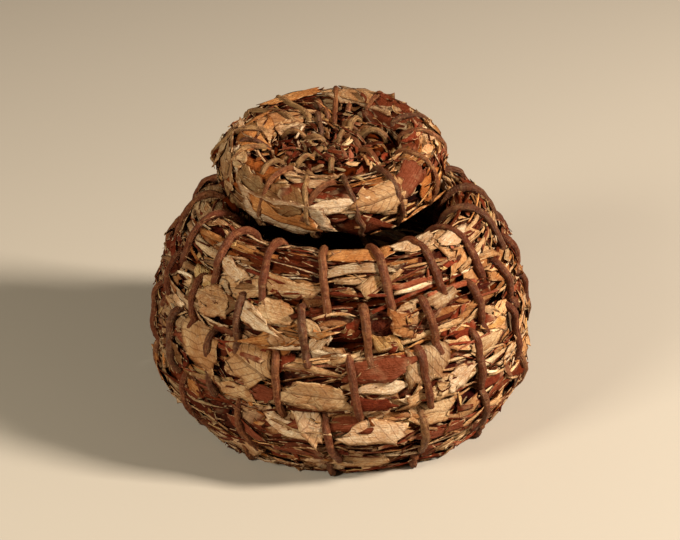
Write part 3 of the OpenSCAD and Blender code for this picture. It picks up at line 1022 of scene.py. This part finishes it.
class Row:
    """One round of a winding: its turns, and the angles around it that show outside and inside."""

    def __init__(self, name, first, last, outside, inside, sewing=None, press=None, stripy=1.0,
                 crumpled=False, seam=None):
        self.name, self.first, self.last, self.sewing = name, first, last, sewing
        self.press, self.stripy, self.crumpled, self.seam = press, stripy, crumpled, seam
        self.broad = LID_BROAD_LEAF if name.startswith("lid") else BROAD_LEAF
        self.outside = tuple(math.radians(a) for a in outside)
        self.inside = tuple(math.radians(a) for a in inside) if inside else None


# Room that the scraps of the rim leave to the lid, and those of the lid to the rim
RIM_ROOM, LID_ROOM = 1.2 * MM, 0.6 * MM


def pot_rows():
    foot = sizes().base_rounds + 1
    lid_edge = sizes().lid_centre_rounds + 1
    sewn = {sewing.name: sewing for sewing in pot_sewings()}
    rows = [Row("base", LEAF_START, foot, (-150, -30), (30, 150))]
    walls = (("foot", "wall_1", (-85, 75), (110, 200)), ("wall_1", "wall_2", (-75, 70), (110, 250)),
             ("wall_2", "wall_3", (-75, 70), (110, 250)), ("wall_3", "rim", (-75, 75), (110, 250)))
    for turn, (name, above, outside, inside) in enumerate(walls, foot):
        rows.append(Row(name, turn, turn + 1, outside, inside, sewn[f"{name}_stitching"],
                        seam=sewn[f"{above}_stitching"]))
    press = Press(lid_winding(), lid_edge, lid_edge + 1, RIM_ROOM)
    rows.append(Row("rim", foot + 4, foot + 4.97, (-60, 190), None, sewn["rim_stitching"], press, 2.4))
    return rows


def lid_rows():
    edge = sizes().lid_centre_rounds + 1
    rim = sizes().base_rounds + 5
    press = Press(pot_winding(), rim, rim + 1, LID_ROOM)
    return [
        Row("lid_centre", LEAF_START, edge - 0.2, (10, 170), (-160, -20), crumpled=True),
        Row("lid_edge", edge - 0.25, edge + 0.97, (-50, 170), (-150, -50), None, press, 0.65),
    ]


# Leaves that stand out: turn, angle around in degrees, length and width in millimetres, twist in degrees,
# tint and strength of the veins
POT_LEAVES = (
    (6.105, 51, 38, 22, -42, "tan", 1.0), (6.158, 35, 33, 26, -22, "tan", 1.0),
    (6.151, -34, 26, 18, -25, "tan", 0.8), (6.171, -16, 16, 11, -10, "rust", 0.3),
    (6.216, -9, 33, 15, -4, "tan", 0.7), (5.209, 44, 30, 15, -62, "beige", 1.0),
    (8.190, -1, 32, 11, -6, "tan", 0.5), (8.168, -14, 14, 9, -35, "wine", 0.3),
    (7.177, 54, 22, 14, -5, "tan", 0.6), (7.113, 32, 26, 17, 5, "tan", 0.7),
    (8.121, 8, 18, 9, -20, "beige", 0.3), (7.162, 28, 22, 11, -22, "beige", 0.4),
    (7.212, 22, 18, 8, -25, "tan", 0.3), (7.216, -18, 10, 9, 50, "beige", 0.2),
    (5.199, 22, 34, 10, -10, "beige", 0.6), (5.156, -7, 24, 8, -28, "rust", 0.3),
    (5.198, -60, 26, 8, -16, "rust", 0.2), (8.208, -17, 14, 7, 0, "rust", 0.2),
    (8.258, 80, 34, 13, 2, "orange", 0.5), (8.328, 88, 28, 14, 8, "beige", 0.6),
    (8.378, 65, 22, 11, 10, "beige", 0.5), (6.267, 35, 32, 14, 0, "rust", 0.5),
    (6.267, 3, 31, 9, 2, "beige", 0.3), (6.260, -30, 21, 12, -6, "wine", 0.3),
    (5.260, 10, 33, 16, -3, "beige", 0.8), (4.250, 14, 27, 10, 0, "tan", 0.5),
    (6.309, 41, 28, 25, 75, "grey", 1.0), (6.337, -9, 17, 12, 25, "beige", 0.4),
    (5.381, 53, 16, 9, 0, "wine", 0.4), (7.276, -24, 18, 14, -55, "straw", 0.6),
    (7.331, 73, 22, 13, 8, "grey", 0.7), (6.367, 32, 20, 8, 5, "tan", 0.3),
    (5.311, 39, 26, 12, -5, "tan", 0.6), (5.318, -19, 28, 6, 5, "rust", 0.2),
    (8.257, 40, 36, 6, 0, "grey", 0.2),
)
LID_LEAVES = (
    (3.166, 39, 24, 20, -15, "olive", 1.0), (3.165, 6, 38, 10, -4, "orange", 0.5),
    (3.369, 56, 22, 16, 20, "rust", 0.5), (3.807, 80, 32, 12, 0, "orange", 0.6),
    (3.311, 42, 28, 17, 5, "tan", 1.0), (3.246, 32, 30, 9, 3, "beige", 0.5),
    (3.703, 94, 30, 13, 0, "tan", 0.6), (3.101, 42, 20, 12, -10, "olive", 0.6),
    (3.045, 59, 18, 12, 10, "tan", 0.6),
)


def picked(leaf_rows, row):
    """The leaves that stand out on one round."""
    own = [leaf for leaf in leaf_rows if row.first <= leaf[0] < row.last]
    turn, around, long, wide, twist = np.array([leaf[:5] for leaf in own]).reshape(-1, 5).T
    return Scraps(
        turn=turn,
        around=np.radians(around),
        long=long * MM,
        wide=wide * MM,
        twist=np.radians(twist),
        lift=np.full(len(own), PICKED_LIFT),
        tint=np.array([getattr(colours(), leaf[5]) for leaf in own]).reshape(-1, 3),
        veined=np.array([leaf[6] for leaf in own]),
    )


def row_pieces(rng, winding, row, body, material, leaf_rows):
    """The broad leaves of a round as one piece, and its torn scraps, strips and chips as another."""
    v = leaves()
    broad, fine = ScrapMesh(), ScrapMesh()

    def lay(mesh, face, sort, around, cover, sewing, press=None, shade=1.0):
        scraps = scatter(rng, face, row, sort, around, cover)
        # Painted shade: the bedding leaves are darkened by it
        scraps.tint *= shade
        mesh.add(rng, face, scraps, sort, sewing, press)

    few_torn, few_splinters = max(row.stripy, 1), min(row.stripy, 1)
    top = (
        (broad, row.broad, v.broad_cover / row.stripy), (fine, TORN_SCRAP, v.torn_cover / few_torn),
        (fine, STRIP_SCRAP, v.strip_cover * row.stripy),
        (fine, SPLINTER_SCRAP, v.splinter_cover * few_splinters), (fine, CHIP_SCRAP, v.chip_cover),
    )
    crumpled = [(fine, bits, v.bit_cover) for bits in CRUMPLED_BITS]
    faces = [(row.outside, 1.0, row.sewing)] + ([(row.inside, INSIDE_SHARE, None)] if row.inside else [])
    for around, share, sewing in faces:
        outside = around is row.outside
        # The bedding leaves, darkened by their painted shade
        lay(broad, winding, BED_LEAF, around, v.bed_cover * share, sewing, row.press, BED_SHADE)
        for mesh, sort, cover in crumpled if row.crumpled and outside else top:
            lay(mesh, winding, sort, around, cover * share, sewing, row.press)
        if outside and not row.crumpled:
            broad.add(rng, winding, picked(leaf_rows, row), PICKED_LEAF, sewing, row.press)
    if row.seam:
        over_seam = ((broad, SEAM_LEAF, v.seam_cover), (fine, SEAM_SCRAP, v.seam_cover / 2),
                     (fine, SEAM_STRIP, v.seam_cover / 2))
        for mesh, sort, cover in over_seam:
            lay(mesh, SeamFace(winding), sort, (-SEAM_REACH, SEAM_REACH), cover, row.seam)
    for piece in (broad.build(f"{row.name}_leaves"), fine.build(f"{row.name}_scraps")):
        keep_above_floor(piece, winding)
        settle(piece, body, material)


# Stitches

LOOP_ANGLES = (90, 70, 50, 30, 10, -10, -30, -45)
LOOP_SHARE = 0.12
ENTRY_ANGLE, ENTRY_SHARE = 40, 0.15
INNER_ANGLE, INNER_SHARE = 180, 0.55
OPEN_ANGLES = (150, 130, 110)
OPEN_SHARE, OPEN_STEP = -0.05, 0.0025
# How much a stitch strays from its place, in stitches, and how much its slant varies
STITCH_STRAY, STITCH_SLANT = 0.05, 0.25
LOOP_STRAY, LIFT_STRAY = 0.006, 0.2 * MM
# Lift of a stitch where it enters the round below, where it is hidden in it and where it comes out inside
ENTRY_LIFT, HIDDEN_LIFT, INNER_LIFT = -0.8 * MM, -5 * MM, -0.4 * MM
# How far past its entry it is hidden, and the number of points from the entry to the inside
HIDDEN_SHARE, HIDDEN_ANGLE, HIDDEN_POINTS = 0.03, 15, 3
# Lift of the vine on the face, and how deep and from which angle it sinks into the seam above
VINE_LIFT, SINK_DEPTH = 0.7 * MM, 2.6 * MM
SINK_FROM, SINK_OVER = 50, 40
LID_VINE = 3.1 * MM
VINE_POINT_STEP = 2.0 * MM
VINE_SLIM = 0.98
# Points from one change of the vine's thickness to the next, how much it changes, and starts of the bark map
VINE_KNOT, VINE_UNEVEN, BARK_STARTS = 5, 0.09, 100


def stitch_place(winding, turn, below, degrees, lift):
    """Point of a stitch at a turn, on its own round or the one below, by its angle from outward to up."""
    k = min(int(turn), winding.last_round)
    rise = winding.climb(turn - k)
    a = winding.lean(k - 1, rise)
    out = winding.side * np.array([math.sin(a), -math.cos(a)])
    up = np.array([math.cos(a), math.sin(a)])
    radius, height, half = winding.middle(k - below, rise)
    e = math.radians(degrees)
    way = math.cos(e) * out + math.sin(e) * up
    full = half * float(winding.swell(turn - below, math.atan2(way[1], way[0])))
    r, z = np.array([radius, height]) + (full + lift) * way
    azimuth = float(winding.azimuth(turn))
    z = max(z, sizes().vine / 2) if winding.grounded else z
    return np.array([r * math.cos(azimuth), r * math.sin(azimuth), z])


def smooth_route(points, step):
    """A smooth line through points, in steps of about one length, and where on the route each step lies."""
    p = np.vstack([2 * points[0] - points[1], points, 2 * points[-1] - points[-2]])
    line, marks = [], []
    for i, (p0, p1, p2, p3) in enumerate(zip(p, p[1:], p[2:], p[3:])):
        n = max(2, round(np.linalg.norm(p2 - p1) / step))
        x = (np.arange(n) / n)[:, None]
        line.append(0.5 * (2 * p1 + (p2 - p0) * x + (2 * p0 - 5 * p1 + 4 * p2 - p3) * x**2
                           + (3 * p1 - p0 - 3 * p2 + p3) * x**3))
        marks.append(i + x[:, 0])
    return np.vstack([*line, points[-1:]]), np.append(np.concatenate(marks), len(points) - 1)


class Sewing:
    """The stitches of one round: its turn, their number, where the first lies, and the share sewn."""

    def __init__(self, name, turn, stitches, first, share=1.0, open_top=False):
        self.name, self.turn, self.stitches = name, turn, stitches
        self.first, self.share, self.open_top = first, share, open_top

    def points_each(self):
        return len(LOOP_ANGLES) + HIDDEN_POINTS + (len(OPEN_ANGLES) if self.open_top else 0)

    def route(self, rng, winding):
        points = []
        for j in range(int(self.stitches * self.share + 1e-6)):
            stray = rng.normal(0, STITCH_STRAY)
            slant = rng.normal(1.0, STITCH_SLANT)

            def at(share):
                return self.turn + (j + self.first + stray + share * slant) / self.stitches

            if self.open_top:
                for a in OPEN_ANGLES:
                    share = OPEN_SHARE + OPEN_STEP * (OPEN_ANGLES[0] - a) / 2
                    points.append(stitch_place(winding, at(share), 0, a, VINE_LIFT))
            for a in LOOP_ANGLES:
                share = LOOP_SHARE * (LOOP_ANGLES[0] - a) / (LOOP_ANGLES[0] - LOOP_ANGLES[-1])
                share += rng.normal(0, LOOP_STRAY)
                sunk = 0 if self.open_top else SINK_DEPTH * ease((a - SINK_FROM) / SINK_OVER)
                lift = VINE_LIFT - sunk + rng.normal(0, LIFT_STRAY)
                points.append(stitch_place(winding, at(share), 0, a, lift))
            deeper = ENTRY_SHARE + HIDDEN_SHARE, ENTRY_ANGLE + HIDDEN_ANGLE
            points.append(stitch_place(winding, at(ENTRY_SHARE), 1, ENTRY_ANGLE, ENTRY_LIFT))
            points.append(stitch_place(winding, at(deeper[0]), 1, deeper[1], HIDDEN_LIFT))
            points.append(stitch_place(winding, at(INNER_SHARE), 0, INNER_ANGLE, INNER_LIFT))
        return np.array(points)


def pot_sewings():
    foot = sizes().base_rounds + 1
    return [
        Sewing("base_stitching", foot - 1, 8, 0.0),
        Sewing("foot_stitching", foot, 12, 0.65),
        Sewing("wall_1_stitching", foot + 1, 14, 0.1),
        Sewing("wall_2_stitching", foot + 2, 17, 0.1),
        Sewing("wall_3_stitching", foot + 3, 18, 0.55),
        Sewing("rim_stitching", foot + 4, 17, 0.65, 0.85, True),
    ]


# Stitches over the lid's edge: where the outer and the inner end of each lie, in degrees from the front
LID_EDGE_STITCHES = (
    (-90, -101), (-61, -77), (-39, -35), (-8, -18), (17, 7), (37, 36), (62, 69), (96, 95), (112, 116),
    (152, 149), (178, 177), (214, 208), (234, 225),
)
EDGE_WAY = (-55, -35, -15, 5, 25, 45, 65, 85, 105, 125)
# Points of a stitch beside those over the edge: two that go down through the lid and one that comes out
EDGE_HIDDEN = 3
# How these lie: their direction from outward to up in degrees, and their lift
EDGE_ENTRY, EDGE_UNDER, EDGE_EXIT = (140, -4 * MM), (140, -12 * MM), (-95, -0.5 * MM)
# How much a stitch strays sideways in degrees, and its lift and how much that varies in millimetres
EDGE_STRAY, EDGE_LIFT = 0.5, (0.6, 0.2)

# How a short stitch on the lid's top runs past its ends, its lift near the middle and its dip in millimetres
TOP_POINTS, TOP_STRETCH, TOP_START = 11, 1.3, -0.15
TOP_LIFT, TOP_MIDDLE_LIFT, TOP_DIP = 1.0, 1.7, 3.4
TOP_MIDDLE, TOP_MIDDLE_FADE = 38 * MM, 10 * MM
# A short stitch takes up one of this many parts of a span in the map of the bark
TOP_SPAN_PARTS = 4
# Short stitches on the lid's top: degrees from the front and millimetres from the middle, of both ends
LID_TOP_STITCHES = (
    (-170, 42, -174, 26), (166, 37, 164, 27), (-163, 26, -151, 12), (151, 28, 135, 5),
    (-112, 25, -117, 5), (115, 9, 56, 25), (-32, 9, -40, 26), (0, 13, -1, 25), (118, 18, 105, 28),
    (-85, 46, -79, 33), (-57, 28, -48, 45), (0, 44, -13, 57),
)


def section(winding, azimuth, first):
    """Radius, height and half thickness of the rounds in one direction from the axis, from a turn on."""
    start = (azimuth - sizes().coil_start) / (2 * math.pi)
    turns = start + np.arange(math.ceil(first - start), math.floor(winding.last_round + 1 - start) + 1)
    return np.stack(list(winding.at(turns)), -1)


def over_edge(winding, theta, degrees, lift):
    """Point off the outermost rounds: an angle from the front, and a direction from outward to up."""
    azimuth, a = math.radians(theta - 90), math.radians(degrees)
    rounds = section(winding, azimuth, winding.last_round - 0.3)
    way = np.array([math.cos(a), math.sin(a)])
    best = rounds[np.argmax(rounds[:, :2] @ way + rounds[:, 2])]
    r, z = best[:2] + (best[2] + lift) * way
    return np.array([r * math.cos(azimuth), r * math.sin(azimuth), z])


def lid_edge_route(rng, winding):
    points = []
    following = (*LID_EDGE_STITCHES[1:], LID_EDGE_STITCHES[-1])
    for (outer, inner), (outer_next, _) in zip(LID_EDGE_STITCHES, following):
        for degrees in EDGE_WAY:
            theta = outer + (inner - outer) * (degrees - EDGE_WAY[0]) / (EDGE_WAY[-1] - EDGE_WAY[0])
            theta += rng.normal(0, EDGE_STRAY)
            points.append(over_edge(winding, theta, degrees, rng.normal(*EDGE_LIFT) * MM))
        points.append(over_edge(winding, inner, *EDGE_ENTRY))
        if outer_next != outer:
            points.append(over_edge(winding, (inner + outer_next) / 2, *EDGE_UNDER))
            points.append(over_edge(winding, outer_next, *EDGE_EXIT))
    return np.array(points)


def lid_top_routes(winding):
    routes = []
    for theta_1, r_1, theta_2, r_2 in LID_TOP_STITCHES:
        ends = [r * MM * np.array([math.sin(math.radians(a)), -math.cos(math.radians(a))])
                for a, r in ((theta_1, r_1), (theta_2, r_2))]
        points = []
        for u in np.linspace(0, 1, TOP_POINTS):
            x, y = ends[0] + (ends[1] - ends[0]) * (TOP_STRETCH * u + TOP_START)
            rounds = section(winding, math.atan2(y, x), LEAF_START)
            off = np.minimum(np.abs(np.hypot(x, y) - rounds[:, 0]), rounds[:, 2])
            top = (rounds[:, 1] + np.sqrt(rounds[:, 2] ** 2 - off**2)).max()
            lift = TOP_LIFT + TOP_MIDDLE_LIFT * ease((TOP_MIDDLE - math.hypot(x, y)) / TOP_MIDDLE_FADE)
            points.append((x, y, top + (lift - TOP_DIP * (1 - math.sin(math.pi * u) ** 0.5)) * MM))
        routes.append(np.array(points))
    return routes


def vine_along(rng, name, line, marks, thickness):
    """A length of uneven vine along a line, with its bark map, in which each stitch takes one span."""
    n = len(line)
    knots = np.arange(0, n + VINE_KNOT, VINE_KNOT)
    radii = np.interp(np.arange(n), knots, rng.normal(1.0, VINE_UNEVEN, len(knots)))
    piece = tube_through(name, [(line, radii)], thickness, 2)
    mesh = piece.data
    bark = mesh.uv_layers[0]
    bark.name = "bark"
    uv = np.zeros(len(mesh.loops) * 2, np.float32)
    bark.data.foreach_get("uv", uv)
    stitch = np.interp(uv[0::2] * (n - 1), np.arange(n), marks) + rng.integers(BARK_STARTS)
    uv[0::2] = stitch * STITCH_SPAN
    bark.data.foreach_set("uv", uv)
    return piece


def sew(rng, winding, node, routes, thickness, press, body, material):
    """The stitches that stand for one stitching solid, along one or more routes."""
    name = node.replace("stitching", "stitches")
    pieces = []
    for route, per_stitch in routes:
        line, marks = smooth_route(route, VINE_POINT_STEP)
        line = winding.place(line)
        line = press.push(line) if press else line
        pieces.append(vine_along(rng, name, line, marks / per_stitch, thickness))
    deselect_all()
    for piece in pieces:
        piece.select_set(True)
    bpy.context.view_layer.objects.active = piece = pieces[0]
    if len(pieces) > 1:
        bpy.ops.object.join()
    roughen(piece, name, *BARK_LUMPS)
    keep_above_floor(piece, winding)
    smooth(piece)
    settle(piece, body, material, [node])


# Operators

FLOOR_SIZE, BACKDROP_HEIGHT = 6, 3
BACKDROP_BEND, BEND_STEPS = 1.2, 24
# Lamps: place, size and tone
KEY_LAMP = (1.46, -0.4, 1.14), 0.32, (1.0, 0.92, 0.81)
FILL_LAMP = (-0.95, -0.85, 0.75), 0.4, (1.0, 0.96, 0.82)
LAMP_AIM = 0, 0, 0.07
SKY_TONE = 1.0, 0.68, 0.44, 1


class BASKET_OT_stage(bpy.types.Operator):
    """Adds the floor with its backdrop, the lamps, the sky and the camera"""

    bl_idname = "basket.stage"
    bl_label = "Stage"

    def execute(self, context):
        stage = context.scene.basket_stage
        deselect_all()
        bpy.ops.mesh.primitive_plane_add(size=FLOOR_SIZE, location=(0, 0, 0))
        floor = context.object
        floor.name = "floor"
        bpy.ops.object.mode_set(mode="EDIT")
        bpy.ops.mesh.select_all(action="DESELECT")
        bpy.ops.object.mode_set(mode="OBJECT")
        for edge in floor.data.edges:
            edge.select = all(floor.data.vertices[i].co.y > 0 for i in edge.vertices)
        bpy.ops.object.mode_set(mode="EDIT")
        bpy.ops.mesh.select_mode(type="EDGE")
        bpy.ops.mesh.extrude_region_move(TRANSFORM_OT_translate={"value": (0, 0, BACKDROP_HEIGHT)})
        bpy.ops.object.mode_set(mode="OBJECT")
        bend = floor.modifiers.new("bend", "BEVEL")
        bend.width, bend.segments, bend.limit_method = BACKDROP_BEND, BEND_STEPS, "ANGLE"
        bpy.ops.object.modifier_apply(modifier=bend.name)
        smooth(floor)
        floor.data.materials.append(floor_material())

        self.lamp("key_lamp", stage.key_watts, *KEY_LAMP)
        self.lamp("fill_lamp", stage.fill_watts, *FILL_LAMP)

        world = bpy.data.worlds.new("sky")
        world.use_nodes = True
        background = world.node_tree.nodes["Background"].inputs
        background["Color"].default_value = SKY_TONE
        background["Strength"].default_value = stage.sky
        context.scene.world = world
        context.scene.view_settings.view_transform = "Standard"

        e, far = stage.camera_elevation, stage.camera_distance
        place = (0, -math.cos(e) * far, stage.camera_aim + math.sin(e) * far)
        bpy.ops.object.camera_add(location=place, rotation=(math.pi / 2 - e, 0, 0))
        camera = context.object
        camera.data.sensor_fit = "HORIZONTAL"
        camera.data.sensor_width = SENSOR_WIDTH_MM
        camera.data.lens = stage.focal_px / PHOTO_WIDTH_PX * SENSOR_WIDTH_MM
        context.scene.camera = camera
        return {"FINISHED"}

    def lamp(self, name, watts, place, size, tone):
        """A square lamp that looks at the basket."""
        bpy.ops.object.light_add(type="AREA", location=place)
        lamp = bpy.context.object
        lamp.name = name
        lamp.data.size, lamp.data.energy, lamp.data.color = size, watts, tone
        to_basket = np.array(LAMP_AIM) - np.array(place)
        yaw = math.atan2(to_basket[1], to_basket[0])
        drop = math.atan2(math.hypot(*to_basket[:2]), -to_basket[2])
        lamp.rotation_euler = (drop, 0, yaw - math.pi / 2)


class BASKET_OT_bundles(bpy.types.Operator):
    """Winds the crushed leaves that fill the rounds of the pot and of the lid"""

    bl_idname = "basket.bundles"
    bl_label = "Bundles"

    def execute(self, context):
        packed = packed_material()
        pot, lid = pot_winding(), lid_winding()
        foot = sizes().base_rounds + 1
        rim = foot + 4
        for name, first, last in (("base", BUNDLE_START, foot), ("wall", foot, rim), ("rim", rim, rim + 1)):
            piece = bundle(f"{name}_bundle", pot, first, last)
            settle(piece, "pot", packed, [f"{name}_coil"])
        piece = bundle("lid_bundle", lid, BUNDLE_START, lid.last_round + 1)
        settle(piece, "lid", packed, ["lid_coil"])
        return {"FINISHED"}


class BASKET_OT_pot_leaves(bpy.types.Operator):
    """Lays the leaf scraps on the rounds of the pot"""

    bl_idname = "basket.pot_leaves"
    bl_label = "Pot leaves"

    def execute(self, context):
        rng = np.random.default_rng(leaves().seed)
        pot, leaf = pot_winding(), leaf_material()
        for row in pot_rows():
            row_pieces(rng, pot, row, "pot", leaf, POT_LEAVES)
        return {"FINISHED"}


class BASKET_OT_lid_leaves(bpy.types.Operator):
    """Lays the leaf scraps on the rounds of the lid"""

    bl_idname = "basket.lid_leaves"
    bl_label = "Lid leaves"

    def execute(self, context):
        rng = np.random.default_rng(leaves().seed + 1)
        lid, leaf = lid_winding(), leaf_material()
        for row in lid_rows():
            row_pieces(rng, lid, row, "lid", leaf, LID_LEAVES)
        return {"FINISHED"}


class BASKET_OT_stitches(bpy.types.Operator):
    """Sews the rounds of the pot and of the lid with vine"""

    bl_idname = "basket.stitches"
    bl_label = "Stitches"

    def execute(self, context):
        rng = np.random.default_rng(leaves().seed + 2)
        pot, lid = pot_winding(), lid_winding()
        brown, golden = vine_material("vine_bark", 0.03), vine_material("lid_vine_bark", 0.5)
        s, under_lid, on_rim = sizes(), lid.last_round, pot.last_round
        for sewing in pot_sewings():
            press = Press(lid, under_lid, under_lid + 1, s.vine / 2) if sewing.open_top else None
            route = sewing.route(rng, pot), sewing.points_each()
            sew(rng, pot, sewing.name, [route], s.vine * VINE_SLIM, press, "pot", brown)
        press = Press(pot, on_rim, on_rim + 1, LID_VINE / 2)
        edge = lid_edge_route(rng, lid), len(EDGE_WAY) + EDGE_HIDDEN
        sew(rng, lid, "lid_edge_stitching", [edge], LID_VINE, press, "lid", golden)
        top = [(route, TOP_SPAN_PARTS * len(route)) for route in lid_top_routes(lid)]
        sew(rng, lid, "lid_centre_stitching", top, LID_VINE, None, "lid", golden)
        return {"FINISHED"}


class BASKET_PT_panel(bpy.types.Panel):
    """Lists the steps that build the basket"""

    bl_idname = "BASKET_PT_panel"
    bl_label = "Coiled basket"
    bl_space_type = "VIEW_3D"
    bl_region_type = "UI"
    bl_category = "Basket"

    def draw(self, context):
        for operator in OPERATORS:
            self.layout.operator(operator.bl_idname)


OPERATORS = (
    BASKET_OT_stage, BASKET_OT_bundles, BASKET_OT_pot_leaves, BASKET_OT_lid_leaves, BASKET_OT_stitches,
)
SETTINGS = {
    "basket_sizes": BasketSizes,
    "basket_leaves": LeafSettings,
    "basket_colours": BasketColours,
    "basket_stage": StageSettings,
}
CLASSES = (*SETTINGS.values(), *OPERATORS, BASKET_PT_panel)


def register():
    for cls in CLASSES:
        bpy.utils.register_class(cls)
    for name, group in SETTINGS.items():
        setattr(bpy.types.Scene, name, bpy.props.PointerProperty(type=group))


def unregister():
    for name in SETTINGS:
        delattr(bpy.types.Scene, name)
    for cls in reversed(CLASSES):
        bpy.utils.unregister_class(cls)


def main():
    register()
    bpy.ops.basket.stage()
    bpy.ops.basket.bundles()
    bpy.ops.basket.pot_leaves()
    bpy.ops.basket.lid_leaves()
    bpy.ops.basket.stitches()


if __name__ == "__main__":
    main()
